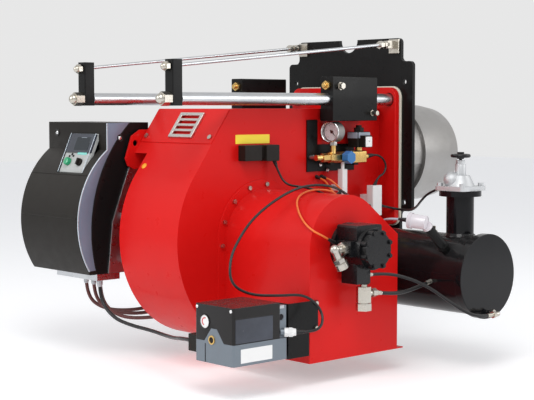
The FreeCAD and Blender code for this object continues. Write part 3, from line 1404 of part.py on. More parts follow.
GLAND_PLATE = box(-972, -880, CAB_Y0 + 8, CAB_Y1 - 90, CAB_BOTTOM - 22, CAB_BOTTOM)
node("cabinet_brackets", group([make_cabinet_bracket(), GLAND_PLATE]))
node("relay_rack", join([box(CAB_BACK - 12, CAB_BACK - CAB_WALL, CAB_Y0 + 30, CAB_Y1 - 30, -300, 70),
                         box(CAB_BACK - 70, CAB_BACK - 12, CAB_Y0 + 50, CAB_Y1 - 60, -40, 40),
                         box(CAB_BACK - 80, CAB_BACK - 12, CAB_Y0 + 50, CAB_Y1 - 60, -240, -130)]))
SERVO_PLUG = box(SERVO_X0 + 12, SERVO_X0 + 62, SERVO_Y1, SERVO_Y1 + 46, -534, -484)
node("plug_connectors", group([make_connector(), SERVO_PLUG]))


# Cables and hoses: straight runs joined by tangent arcs
ORANGE_R = 3.0
THIN_R = 3.5
CABLE_R = 4.0
HOSE_R = 5.0
VALVE_HOSE_R = 6.0
HARNESS_R = 6.0


def cord(name, points, radius):
    """Round cord along a route: each corner becomes an arc that touches both runs."""
    route = [V(*point) for point in points]
    edges = []
    tightest = 1000.0
    length = 0.0
    start = route[0]
    for k in range(1, len(route) - 1):
        before = route[k] - route[k - 1]
        after = route[k + 1] - route[k]
        half = before.getAngle(after) / 2
        run = min(before.Length, after.Length)
        bend = 0.45 * run / math.tan(half)
        tightest = min(tightest, bend)
        ahead = V(after).normalize()
        back = V(before).normalize()
        enter = route[k] - back * (0.45 * run)
        leave = route[k] + ahead * (0.45 * run)
        inward = (ahead - back).normalize()
        middle = route[k] + inward * (bend / math.cos(half) - bend)
        edges.append(Part.makeLine(start, enter))
        edges.append(Part.Arc(enter, middle, leave).toShape())
        length += (enter - start).Length + 2 * half * bend
        start = leave
    edges.append(Part.makeLine(start, route[-1]))
    length += (route[-1] - start).Length
    first = (route[1] - route[0]).normalize()
    ring = Part.Wire(Part.makeCircle(radius, route[0], first))
    body = Part.Wire(edges).makePipeShell([ring], True, True)
    print(name, "length", round(length, 1), "tightest bend", round(tightest, 1),
          "volume share", round(body.Volume / (math.pi * radius * radius * length), 4))
    return body


HEAD_SIDE = V(-0.35, 0.9, 0.1).normalize()
HEAD_FACE = POCKET_FOOT + POCKET_DIR * (POCKET_L + 24) + HEAD_SIDE * 50
GLAND_TIP = GLAND_FOOT + GLAND_DIR * GLAND_L
CABLES = [
    cord("servo cable", [tuple(GLAND_TIP), tuple(GLAND_TIP + GLAND_DIR * 42), (-784, -642, -466),
                         (-760, -622, -430), (-778, -602, -393), (-818, -590, -372), (-885, -568, -372),
                         (-958, -522, -368), (-1003, -490, -335), (-990, -472, -272), (-951, -456, -225),
                         (-885, -448, -160), (-792, -445, -108), (-692, -440, -74), (-600, -430, -68),
                         (-500, -400, -78), (-410, -350, -96), (-325, -302, -120), (-252, -262, -136),
                         (-200, -242, -158), (-149, -236, -168)], CABLE_R),
    cord("plug lead", [(-566, -204, 0), (-556, -216, -46), (-548, -244, -80), (-520, -290, -84),
                       (-462, -306, -100), (-385, -280, -126), (-332, -244, -122), (-286, -229, -115)],
                       THIN_R),
    cord("sensor lead", [(-276, -229, -132), (-280, -240, -170), (-296, -285, -192), (-330, -350, -200),
                         (-365, -425, -200), (-392, -495, -192), tuple(HEAD_FACE + HEAD_SIDE * 60),
                         tuple(HEAD_FACE)], THIN_R),
    cord("switch lead", [(-154, -225, 3), (-116, -226, 9), (-80, -229, -2), (-62, -232, -32),
                         (-78, -235, -60),
                         (-110, -237, -68), (-127, -236, -98)], THIN_R),
    cord("tank lead", [(-106, -236, -166), (-56, -240, -177), (-38, -286, -184), (-58, -346, -180),
                       (-105, -410, -162), (-158, -476, -134), (-188, -535, -104), (-188, -590, -86)],
                       CABLE_R)]
node("control_cables", group(CABLES))
LEADS = [
    cord("ignition lead 1", [(-330, -180, -62), (-330, -224, -68), (-306, -252, -104), (-270, -260, -146),
                             (-222, -266, -188), (-164, -258, -216), (-112, -236, -228), (-78, -206, -226),
                             (-70, -164, -222)], ORANGE_R),
    cord("ignition lead 2", [(-352, -180, -62), (-356, -224, -70), (-385, -275, -92), (-424, -340, -110),
                             (-462, -390, -112), (-512, -412, -92), (-580, -414, -83), (-645, -419, -91),
                             (-690, -436, -110), (-724, -480, -143), (-748, -532, -173), (-752, -572, -193),
                             (-722, -586, -209), (-673, -582, -232)], ORANGE_R)]
node("ignition_leads", group(LEADS))
DRAIN_Y = TANK_FRONT_Y - 16.0
DRAIN_Z = TANK_Z - TANK_CAP_R + 20
DRAIN_RISE = 24.0


def make_drain_elbow():
    """Elbow on the drain of the tank with its nut towards the hose."""
    turn = V(TANK_X, DRAIN_Y - DRAIN_RISE, DRAIN_Z)
    nut = hexagon((TANK_X, DRAIN_Y, DRAIN_Z), V(0, -1, 0), 22, 10)
    leg = cyl((TANK_X, DRAIN_Y - 10, DRAIN_Z), V(0, -1, 0), 7, DRAIN_RISE - 10)
    arm = cyl(tuple(turn), V(-1, 0, 0), 7, 14)
    union = hexagon((TANK_X - 14, turn.y, DRAIN_Z), V(-1, 0, 0), 20, 12)
    return join([nut, leg, Part.makeSphere(8, turn), arm, union])


node("pump_fittings", group(FITTINGS + [make_drain_elbow()]))
HOSES = [
    cord("pump hose", [(SUCTION[0] + SUCTION_NUT_T, SUCTION[1], SUCTION[2]),
                       (-500, SUCTION[1], SUCTION[2]), (-428, -640, -348),
                       (-366, -684, -380), (-330, -738, -424), (-298, -784, -460),
                       (-245, DRAIN_Y - DRAIN_RISE, DRAIN_Z),
                       (TANK_X - 26, DRAIN_Y - DRAIN_RISE, DRAIN_Z)], HOSE_R),
    cord("valve hose", [(FAN_X + 58, VALVE_Y, VALVE_TOP - 30), (-468, VALVE_Y - 4, -400),
                        (-388, VALVE_Y - 6, -396),
                        (TANK_X - TANK_R + 1, VALVE_Y - 2, -376)], VALVE_HOSE_R)]
node("oil_hoses", group(HOSES))
HARNESS_Z = CAB_BOTTOM - 22.0
HARNESS = [
    cord("harness 1", [(-945, 232, HARNESS_Z), (-945, 232, -460), (-940, 165, -515), (-935, 70, -530),
                       (-938, -30, -532), (-955, -130, -535), (-990, -220, -528), (-1030, -300, -513),
                       (-1043, -379, -509)], HARNESS_R),
    cord("harness 2", [(-925, 256, HARNESS_Z), (-925, 256, -462), (-895, 222, -514), (-838, 178, -532),
                       (-790, 114, -520)], HARNESS_R),
    cord("harness 3", [(-920, 300, HARNESS_Z), (-920, 300, -462), (-884, 262, -508), (-820, 206, -520),
                       (-752, 160, -508), (-722, 114, -492)], HARNESS_R),
    cord("harness 4", [(-915, 350, HARNESS_Z), (-915, 350, -464), (-878, 304, -508), (-806, 246, -514),
                       (-728, 190, -496), (-668, 150, -474), (-640, 114, -462)], HARNESS_R)]
node("cabinet_harness", group(HARNESS))


def write_nodes():
    for name, shape in NODES.items():
        shape.exportStep("parts/" + name + ".step")
        print(name, len(shape.Solids), "solids", shape.isValid())


write_nodes()
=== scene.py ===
# %% [markdown]
# # Heavy oil burner on a sliding carriage
# The burner hangs on a boiler door by its black plate. The whole red housing slides back on two bars, so
# that the head can be cleaned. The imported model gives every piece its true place; this file gives each
# piece its finished surface.

# %% Load the fixed frame
import json
import math

import bmesh
import bpy
import numpy as np
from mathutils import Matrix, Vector

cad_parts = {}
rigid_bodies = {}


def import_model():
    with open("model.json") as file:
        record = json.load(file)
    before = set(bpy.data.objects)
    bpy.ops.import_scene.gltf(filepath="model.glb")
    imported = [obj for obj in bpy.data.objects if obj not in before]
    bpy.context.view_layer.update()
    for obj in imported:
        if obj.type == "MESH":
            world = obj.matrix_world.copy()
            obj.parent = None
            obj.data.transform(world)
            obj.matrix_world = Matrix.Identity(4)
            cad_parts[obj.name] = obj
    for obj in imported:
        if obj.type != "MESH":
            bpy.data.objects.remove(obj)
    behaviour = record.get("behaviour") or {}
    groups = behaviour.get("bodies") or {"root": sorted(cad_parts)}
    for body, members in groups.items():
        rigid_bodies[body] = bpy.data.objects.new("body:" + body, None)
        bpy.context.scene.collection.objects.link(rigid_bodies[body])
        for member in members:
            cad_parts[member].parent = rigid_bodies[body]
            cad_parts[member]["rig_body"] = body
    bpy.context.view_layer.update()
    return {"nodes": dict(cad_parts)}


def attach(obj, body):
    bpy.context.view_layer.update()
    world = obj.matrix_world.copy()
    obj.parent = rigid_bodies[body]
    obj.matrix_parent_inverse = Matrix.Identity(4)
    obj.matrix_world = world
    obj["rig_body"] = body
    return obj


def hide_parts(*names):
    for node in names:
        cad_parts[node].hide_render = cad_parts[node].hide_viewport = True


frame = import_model()
nodes = frame["nodes"]
MM = 1000.0
node_body = {n: o["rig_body"] for n, o in nodes.items()}

# %% [markdown]
# The picture was taken from the left front, a little above the middle of the burner, with a long lens.
# Lines of the plate, the bars and the flange gave the place and the lens of the camera. Blender's camera
# looks along its own -Z, so its turn is worked out from the direction of view.

# %% Camera at the photograph's angle
AZIMUTH = math.radians(47.4)
PITCH = math.radians(3.99)
LENS_MM = 91.6
SENSOR_MM = 36.0
CAMERA_AT = (-3.5444, -3.4087, 0.1764)
FAR_M = 60.0
camera_data = bpy.data.cameras.new("camera")
camera_data.lens = LENS_MM
camera_data.sensor_width = SENSOR_MM
camera_data.clip_end = FAR_M
camera = bpy.data.objects.new("camera", camera_data)
camera.location = CAMERA_AT
look = Vector((math.cos(AZIMUTH) * math.cos(PITCH), math.sin(AZIMUTH) * math.cos(PITCH), -math.sin(PITCH)))
camera.rotation_euler = look.to_track_quat("-Z", "Y").to_euler()
bpy.context.collection.objects.link(camera)
bpy.context.scene.camera = camera
print("camera looks along", [round(x, 3) for x in look])

# %% [markdown]
# A studio: a large soft lamp above the camera, a weaker one on each side, and an even grey sky. The world
# is white only for what the camera, a mirror or glass sees, so the background is white and the light on
# the burner stays plain.

# %% Light and world
view = bpy.context.scene.view_settings
view.view_transform = "Standard"
SKY_COLOUR, SKY_STRENGTH = (0.93, 0.95, 1.0, 1), 0.55


def soft_lamp(name, place, aim, size, watts):
    """Square area lamp at a place, turned towards a point."""
    data = bpy.data.lights.new(name, "AREA")
    data.size = size
    data.energy = watts
    lamp = bpy.data.objects.new(name, data)
    lamp.location = place
    lamp.rotation_euler = (Vector(aim) - Vector(place)).to_track_quat("-Z", "Y").to_euler()
    bpy.context.collection.objects.link(lamp)


soft_lamp("key_lamp", (-2.6, -2.2, 3.0), (-0.5, -0.1, -0.1), 2.2, 95)
soft_lamp("side_lamp", (1.8, -3.2, 1.2), (-0.3, 0, -0.1), 2.0, 36)
soft_lamp("left_lamp", (-3.8, 1.2, 1.4), (-0.8, 0.2, -0.1), 1.8, 38)


def sky():
    """World: white where it is seen, plain grey as light."""
    world = bpy.data.worlds.new("studio_sky")
    bpy.context.scene.world = world
    world.use_nodes = True
    tree = world.node_tree
    tree.nodes.clear()
    path = tree.nodes.new("ShaderNodeLightPath")
    seen = path.outputs["Is Camera Ray"]
    for ray in ("Is Transmission Ray", "Is Glossy Ray"):
        either = tree.nodes.new("ShaderNodeMath")
        either.operation = "MAXIMUM"
        tree.links.new(seen, either.inputs[0])
        tree.links.new(path.outputs[ray], either.inputs[1])
        seen = either.outputs[0]
    lit = tree.nodes.new("ShaderNodeBackground")
    lit.inputs["Color"].default_value = SKY_COLOUR
    lit.inputs["Strength"].default_value = SKY_STRENGTH
    white = tree.nodes.new("ShaderNodeBackground")
    white.inputs["Strength"].default_value = 1.0
    mix = tree.nodes.new("ShaderNodeMixShader")
    out = tree.nodes.new("ShaderNodeOutputWorld")
    tree.links.new(seen, mix.inputs[0])
    tree.links.new(lit.outputs[0], mix.inputs[1])
    tree.links.new(white.outputs[0], mix.inputs[2])
    tree.links.new(mix.outputs[0], out.inputs[0])


sky()
print("lamps", len(bpy.data.lights))

# %% [markdown]
# The floor is one large pale square. A weak glow is added to its paint, so that it comes close to the
# white behind it, and the burner's shadow still shows.

# %% Floor
FLOOR_Z = -0.66
FLOOR_HALF = 14.0
FLOOR_COLOUR, FLOOR_ROUGH, FLOOR_GLOW = (0.86, 0.86, 0.86, 1), 0.9, 0.30


def studio_floor():
    """Large pale square under the burner."""
    mesh = bpy.data.meshes.new("studio_floor")
    corners = [(x * FLOOR_HALF, y * FLOOR_HALF, FLOOR_Z) for x, y in ((-1, -1), (1, -1), (1, 1), (-1, 1))]
    mesh.from_pydata(corners, [], [(0, 1, 2, 3)])
    floor = bpy.data.objects.new("studio_floor", mesh)
    bpy.context.collection.objects.link(floor)
    material = bpy.data.materials.new("pale_floor")
    material.use_nodes = True
    tree = material.node_tree
    paint = tree.nodes["Principled BSDF"]
    paint.inputs["Base Color"].default_value = FLOOR_COLOUR
    paint.inputs["Roughness"].default_value = FLOOR_ROUGH
    glow = tree.nodes.new("ShaderNodeEmission")
    glow.inputs["Strength"].default_value = FLOOR_GLOW
    add = tree.nodes.new("ShaderNodeAddShader")
    tree.links.new(paint.outputs[0], add.inputs[0])
    tree.links.new(glow.outputs[0], add.inputs[1])
    tree.links.new(add.outputs[0], tree.nodes["Material Output"].inputs[0])
    mesh.materials.append(material)


studio_floor()
print("floor at", FLOOR_Z)

# %% [markdown]
# A material is a net of nodes. Short helpers add a group, a noise, a sum or a mix of colours and link its
# inputs, so that the finishes below read like recipes.

# %% Helpers for nodes
FLOAT, VECTOR = "NodeSocketFloat", "NodeSocketVector"


def new_group(name, inputs, outputs):
    """Empty shader node group with float or vector sockets."""
    group = bpy.data.node_groups.new(name, "ShaderNodeTree")
    for label, kind, value in inputs:
        socket = group.interface.new_socket(label, in_out="INPUT", socket_type=kind)
        if value is not None:
            socket.default_value = value
    for label, kind in outputs:
        group.interface.new_socket(label, in_out="OUTPUT", socket_type=kind)
    return group, group.nodes.new("NodeGroupInput"), group.nodes.new("NodeGroupOutput")


def give(tree, socket, value):
    """Feed an input: a socket is linked, a number or colour is set."""
    if hasattr(value, "is_linked"):
        tree.links.new(value, socket)
    else:
        socket.default_value = value


def noise(tree, vector, scale, detail=2.0, rough=0.5):
    """Noise texture whose scale is a number or a socket."""
    node = tree.nodes.new("ShaderNodeTexNoise")
    node.inputs["Detail"].default_value = detail
    node.inputs["Roughness"].default_value = rough
    tree.links.new(vector, node.inputs["Vector"])
    give(tree, node.inputs["Scale"], scale)
    return node.outputs["Fac"]


def math_node(tree, operation, a, b=0.0, c=0.0):
    """Math node with numbers or sockets on its inputs."""
    node = tree.nodes.new("ShaderNodeMath")
    node.operation = operation
    for k, value in enumerate((a, b, c)):
        give(tree, node.inputs[k], value)
    return node.outputs[0]


def mixed(tree, factor, a, b, blend="MIX"):
    """Mix of two colours, each a socket or a value."""
    node = tree.nodes.new("ShaderNodeMix")
    node.data_type = "RGBA"
    node.blend_type = blend
    for label, value in (("Factor", factor), ("A", a), ("B", b)):
        give(tree, node.inputs[label], value)
    return node.outputs["Result"]


print("node helpers ready")

# %% [markdown]
# Three effects return on many finishes: the fine waviness of sprayed paint, slow changes of tone with a
# little dust, and the lines that rolling or turning leaves in metal. Each is one node group with named
# sockets, built once. All of them read Object coordinates, which here are metres in the burner's own
# frame.

# %% Shared node groups
WAVE_SCALE, TONE_SCALE, SPECK_SCALE = 14.0, 5.0, 60.0


def sprayed_group():
    """Height of sprayed paint: long waves plus fine orange peel."""
    inputs = [("Vector", VECTOR, None), ("Peel Scale", FLOAT, 420.0), ("Wave Share", FLOAT, 0.4)]
    group, a, b = new_group("sprayed_surface", inputs, [("Height", FLOAT)])
    peel = noise(group, a.outputs["Vector"], a.outputs["Peel Scale"], 2.0)
    wave = noise(group, a.outputs["Vector"], WAVE_SCALE, 1.0)
    high = math_node(group, "MULTIPLY_ADD", wave, a.outputs["Wave Share"], peel)
    group.links.new(high, b.inputs["Height"])
    return group


def tone_group():
    """Slow change of tone and a dust mask that settles on faces that look up."""
    inputs = [("Vector", VECTOR, None), ("Tone Share", FLOAT, 0.1), ("Dust", FLOAT, 0.2)]
    group, a, b = new_group("tone_and_dust", inputs, [("Tone", FLOAT), ("Dust Mask", FLOAT)])
    slow = noise(group, a.outputs["Vector"], TONE_SCALE, 4.0, 0.6)
    centred = math_node(group, "SUBTRACT", slow, 0.5)
    tone = math_node(group, "MULTIPLY_ADD", centred, a.outputs["Tone Share"], 1.0)
    group.links.new(tone, b.inputs["Tone"])
    geometry = group.nodes.new("ShaderNodeNewGeometry")
    split = group.nodes.new("ShaderNodeSeparateXYZ")
    group.links.new(geometry.outputs["True Normal"], split.inputs[0])
    up = math_node(group, "MAXIMUM", split.outputs["Z"], 0.0)
    specks = noise(group, a.outputs["Vector"], SPECK_SCALE, 6.0, 0.7)
    mask = math_node(group, "MULTIPLY", up, specks)
    mask = math_node(group, "MULTIPLY", mask, a.outputs["Dust"])
    group.links.new(mask, b.inputs["Dust Mask"])
    return group


def drawn_group():
    """Fine lines, as rolling or grinding leaves them: noise drawn out along the axis of small stretch."""
    inputs = [("Vector", VECTOR, None), ("Line Scale", FLOAT, 300.0), ("Stretch", VECTOR, (0.03, 1.0, 1.0))]
    group, a, b = new_group("drawn_lines", inputs, [("Lines", FLOAT)])
    scaled = group.nodes.new("ShaderNodeVectorMath")
    scaled.operation = "MULTIPLY"
    group.links.new(a.outputs["Vector"], scaled.inputs[0])
    group.links.new(a.outputs["Stretch"], scaled.inputs[1])
    lines = noise(group, scaled.outputs[0], a.outputs["Line Scale"], 4.0, 0.65)
    group.links.new(lines, b.inputs["Lines"])
    return group


SPRAYED, TONED, DRAWN = sprayed_group(), tone_group(), drawn_group()
print("node groups", len(bpy.data.node_groups))

# %% [markdown]
# A finish is one material: a base colour that the tone group varies, a roughness that a finer noise and
# the dust break up, and a small bump. Paint, zinc, castings and mouldings differ in their numbers and in
# which group gives the bump.

# %% Recipe of a finish
PATCH_SCALE, WEAR_SCALE = 9.0, 30.0
COAT_ROUGH = 0.08
DUST_COLOUR = (0.55, 0.53, 0.50, 1)
BUMP_M = 0.002


def finish(name, colour, rough, metal=0.0, tone=0.2, dust=0.1, bump="sprayed", peel=900.0, depth=0.05,
           coat=0.0, stretch=(0.03, 1.0, 1.0), rough_share=0.25, tint=None, specular=0.5):
    """Material from the shared groups; tint is a second colour that slow noise mixes in."""
    material = bpy.data.materials.new(name)
    material.use_nodes = True
    tree = material.node_tree
    shader = tree.nodes["Principled BSDF"]
    shader.inputs["Metallic"].default_value = metal
    shader.inputs["Specular IOR Level"].default_value = specular
    if coat:
        shader.inputs["Coat Weight"].default_value = coat
        shader.inputs["Coat Roughness"].default_value = COAT_ROUGH
    place = tree.nodes.new("ShaderNodeTexCoord").outputs["Object"]
    toned = tree.nodes.new("ShaderNodeGroup")
    toned.node_tree = TONED
    toned.inputs["Tone Share"].default_value = tone
    toned.inputs["Dust"].default_value = dust
    tree.links.new(place, toned.inputs["Vector"])
    base = (*colour, 1)
    if tint:
        base = mixed(tree, noise(tree, place, PATCH_SCALE, 5.0, 0.6), base, (*tint, 1))
    base = mixed(tree, 1.0, base, toned.outputs["Tone"], "MULTIPLY")
    dusty = mixed(tree, toned.outputs["Dust Mask"], base, DUST_COLOUR)
    tree.links.new(dusty, shader.inputs["Base Color"])
    group = tree.nodes.new("ShaderNodeGroup")
    if bump == "drawn":
        group.node_tree = DRAWN
        group.inputs["Line Scale"].default_value = peel
        group.inputs["Stretch"].default_value = stretch
        height = group.outputs["Lines"]
    else:
        group.node_tree = SPRAYED
        group.inputs["Peel Scale"].default_value = peel
        height = group.outputs["Height"]
    tree.links.new(place, group.inputs["Vector"])
    bumped = tree.nodes.new("ShaderNodeBump")
    bumped.inputs["Strength"].default_value = depth
    bumped.inputs["Distance"].default_value = BUMP_M
    tree.links.new(height, bumped.inputs["Height"])
    tree.links.new(bumped.outputs["Normal"], shader.inputs["Normal"])
    spots = noise(tree, place, WEAR_SCALE, 3.0)
    worn = math_node(tree, "MULTIPLY_ADD", spots, rough_share, rough - rough_share / 2)
    worn = math_node(tree, "ADD", worn, toned.outputs["Dust Mask"])
    tree.links.new(worn, shader.inputs["Roughness"])
    return material


print("recipe ready")

# %% [markdown]
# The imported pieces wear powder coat, enamel, plated and rolled steel, castings and hard mouldings. A bare
# metal has a high Metallic and a light base colour, and most have a second tint in patches.

# %% Paints, metals and mouldings
RED = finish("red_powder_coat", (0.62, 0.008, 0.007), 0.32, tone=0.12, dust=0.03, peel=260.0, coat=0.05,
             specular=0.12)
BLACK = finish("black_paint", (0.007, 0.007, 0.007), 0.30, tone=0.3, dust=0.05, peel=240.0, depth=0.07,
               coat=0.05, specular=0.12)
ENAMEL = finish("tank_enamel", (0.006, 0.006, 0.007), 0.16, tone=0.3, dust=0.05, peel=90.0, coat=0.15,
                specular=0.15)
ZINC = finish("zinc_plated_steel", (0.62, 0.63, 0.64), 0.30, metal=1.0, bump="drawn", peel=420.0,
              depth=0.10, tint=(0.50, 0.52, 0.55))
ZINC_NUT = finish("zinc_nuts", (0.52, 0.51, 0.49), 0.26, metal=1.0, tone=0.3, peel=500.0, depth=0.04,
                  tint=(0.50, 0.45, 0.36))
STAINLESS = finish("rolled_stainless", (0.40, 0.395, 0.39), 0.36, metal=0.9, tone=0.4, dust=0.05,
                   bump="drawn", peel=420.0, depth=0.12, stretch=(1.0, 0.05, 1.0),
                   tint=(0.33, 0.315, 0.30))
ROPE = finish("gasket_rope", (0.72, 0.68, 0.56), 0.85, tone=0.3, peel=700.0, depth=0.6)
BRASS = finish("machined_brass", (0.70, 0.47, 0.16), 0.28, metal=1.0, tone=0.3, bump="drawn", peel=420.0,
               depth=0.1, stretch=(1.0, 1.0, 0.05), tint=(0.55, 0.36, 0.13))
CAST = finish("die_cast_alloy", (0.17, 0.20, 0.23), 0.44, metal=0.55, dust=0.12, depth=0.16)
BONNET = finish("galvanised_casting", (0.42, 0.43, 0.44), 0.45, metal=0.6, tone=0.35, dust=0.12,
                peel=350.0, depth=0.3, tint=(0.60, 0.61, 0.62))
GRILLE = finish("stamped_aluminium", (0.63, 0.61, 0.58), 0.30, metal=1.0, tone=0.15, bump="drawn",
                peel=420.0, depth=0.12, stretch=(1.0, 0.05, 1.0))
MOULDED = finish("moulded_black", (0.013, 0.011, 0.009), 0.42, dust=0.06, peel=1500.0, depth=0.10,
                 specular=0.15)
HOOD = finish("hood_black", (0.009, 0.008, 0.008), 0.20, tone=0.25, peel=1200.0, depth=0.04, coat=0.1,
              specular=0.2)
PUMP = finish("painted_casting", (0.006, 0.006, 0.007), 0.26, tone=0.4, dust=0.08, peel=420.0,
              depth=0.30, coat=0.15, specular=0.2)
PLATE_GREY = finish("control_grey", (0.40, 0.41, 0.40), 0.45, tone=0.1, peel=1500.0)
BLUE = finish("knob_blue", (0.02, 0.16, 0.42), 0.35, depth=0.08)
WHITE = finish("white_moulding", (0.78, 0.78, 0.77), 0.42, tone=0.08, dust=0.12, peel=1500.0, depth=0.06)
NEEDLE = finish("needle_enamel", (0.02, 0.02, 0.02), 0.4, tone=0.1, dust=0.15, depth=0.03)
PORCELAIN = finish("porcelain", (0.80, 0.77, 0.70), 0.18, tone=0.06, dust=0.05, peel=200.0, depth=0.03,
                   coat=0.5)
WHEEL = finish("fan_wheel_zinc", (0.52, 0.53, 0.54), 0.42, metal=1.0, tone=0.4, dust=0.3, peel=60.0,
               depth=0.1, tint=(0.40, 0.42, 0.45))
print("materials so far", len(bpy.data.materials))

# %% [markdown]
# The cords have rubber or silicone jackets. The small pieces on the actuator, the gauge and the cabinet
# bring coloured plastics, inks, chrome and one clear glass.

# %% Jackets, plastics, inks and glass
RUBBER = finish("cable_rubber", (0.009, 0.009, 0.010), 0.30, tone=0.25, depth=0.06, specular=0.3)
HOSE = finish("hose_rubber", (0.010, 0.010, 0.011), 0.36, tone=0.3, peel=1600.0, depth=0.12,
              specular=0.3)
ORANGE = finish("silicone_orange", (0.80, 0.16, 0.02), 0.42)
SENSOR = finish("sensor_grey", (0.42, 0.48, 0.55), 0.45)
OXBLOOD = finish("cable_oxblood", (0.10, 0.022, 0.018), 0.42, tone=0.25, dust=0.12, depth=0.06)
YELLOW = finish("plate_yellow", (0.88, 0.66, 0.02), 0.38, tone=0.08, dust=0.05, depth=0.03)
TRIM = finish("trim_blue_grey", (0.13, 0.19, 0.27), 0.40, metal=0.2, tone=0.25, dust=0.15, peel=700.0,
              depth=0.10, tint=(0.22, 0.27, 0.35))
TRIM_EDGE = finish("trim_edge_pale", (0.46, 0.52, 0.58), 0.30, metal=0.4, tone=0.15, peel=700.0)
# The smoked finish is dark; the paler bluish tint that noise mixes in as patches is painted reflection.
SMOKED_WITH_PAINTED_REFLECTION = finish("smoked_panel_with_painted_reflection", (0.014, 0.015, 0.020), 0.20, tone=0.6, dust=0.08, peel=30.0, depth=0.03,
                coat=0.15, rough_share=0.3, tint=(0.060, 0.070, 0.095), specular=0.3)
SCREEN = finish("display_glass", (0.006, 0.012, 0.018), 0.10, tone=0.1, dust=0.03, depth=0.0, coat=0.2,
                specular=0.3)
STRIP = finish("key_strip_turquoise", (0.22, 0.62, 0.56), 0.40, tone=0.1, dust=0.05, depth=0.03)
GREEN = finish("lamp_green", (0.010, 0.30, 0.13), 0.16, dust=0.05, peel=300.0, coat=0.6)
AMBER = finish("cap_amber", (0.86, 0.36, 0.02), 0.36, tone=0.1, dust=0.05, depth=0.04)
DIAL = finish("dial_card", (0.92, 0.82, 0.84), 0.50, tone=0.05, dust=0.0, depth=0.0)
# Mark ink prints the gauge scale and the joint line, and is also painted shade in the dark discs that stand
# for holes.
MARK = finish("mark_ink_and_painted_shade", (0.008, 0.007, 0.009), 0.5, tone=0.05, dust=0.0, depth=0.0, specular=0.2)
MARK_RED = finish("mark_red", (0.62, 0.02, 0.03), 0.45, tone=0.05, dust=0.0, depth=0.0)
CHROME = finish("chromed_steel", (0.72, 0.72, 0.72), 0.14, metal=1.0, tone=0.1, dust=0.05, peel=500.0,
                depth=0.02)
GLAND_GREY = finish("gland_grey", (0.46, 0.48, 0.50), 0.48, tone=0.15, dust=0.12, depth=0.06)
MILKY = finish("milky_cover", (0.66, 0.62, 0.65), 0.22, dust=0.06, peel=300.0, depth=0.04, coat=0.4)
COIL_GREY = finish("coil_grey", (0.30, 0.34, 0.40), 0.42, depth=0.06)


def clear_glass():
    """Plain clear glass for the gauge."""
    material = bpy.data.materials.new("gauge_glass")
    material.use_nodes = True
    shader = material.node_tree.nodes["Principled BSDF"]
    shader.inputs["Base Color"].default_value = (0.97, 0.98, 0.98, 1)
    shader.inputs["Roughness"].default_value = 0.03
    shader.inputs["Transmission Weight"].default_value = 1.0
    shader.inputs["IOR"].default_value = 1.45
    return material


GLASS = clear_glass()
print("materials", len(bpy.data.materials))

# %% [markdown]
# Every cable and hose is held at both ends, so each is one smooth line between its two glands or nuts. A
# spline along guide points gives the slow curves of a stiff jacket better than arcs would.

# %% A cord on a smooth curve


def curve_along(name, points, resolution):
    """Curve data with one spline that starts and ends on the end points and rounds the others."""
    curve = bpy.data.curves.new(name, "CURVE")
    curve.dimensions = "3D"
    curve.resolution_u = resolution
    spline = curve.splines.new("NURBS")
    spline.points.add(len(points) - 1)
    for point, (x, y, z) in zip(spline.points, points):
        point.co = (x / MM, y / MM, z / MM, 1.0)
    spline.order_u = 3
    spline.use_endpoint_u = True
    return curve


def cord_line(name, node, material, radius, length, stiffness, points):
    """Smooth round cord on a spline that stands in for its imported node."""
    curve = curve_along(name, points, 8)
    curve.bevel_depth = radius / MM
    curve.bevel_resolution = 5
    curve.use_fill_caps = True
    curve.materials.append(material)
    piece = bpy.data.objects.new(name, curve)
    bpy.context.collection.objects.link(piece)
    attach(piece, node_body[node])
    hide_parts(node)


print("cord line ready")

# %% [markdown]
# Each row names a cord, its node and its jacket, then gives its radius in millimetres, its length in
# metres, how stiff it is, and its guide points in millimetres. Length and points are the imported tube's.

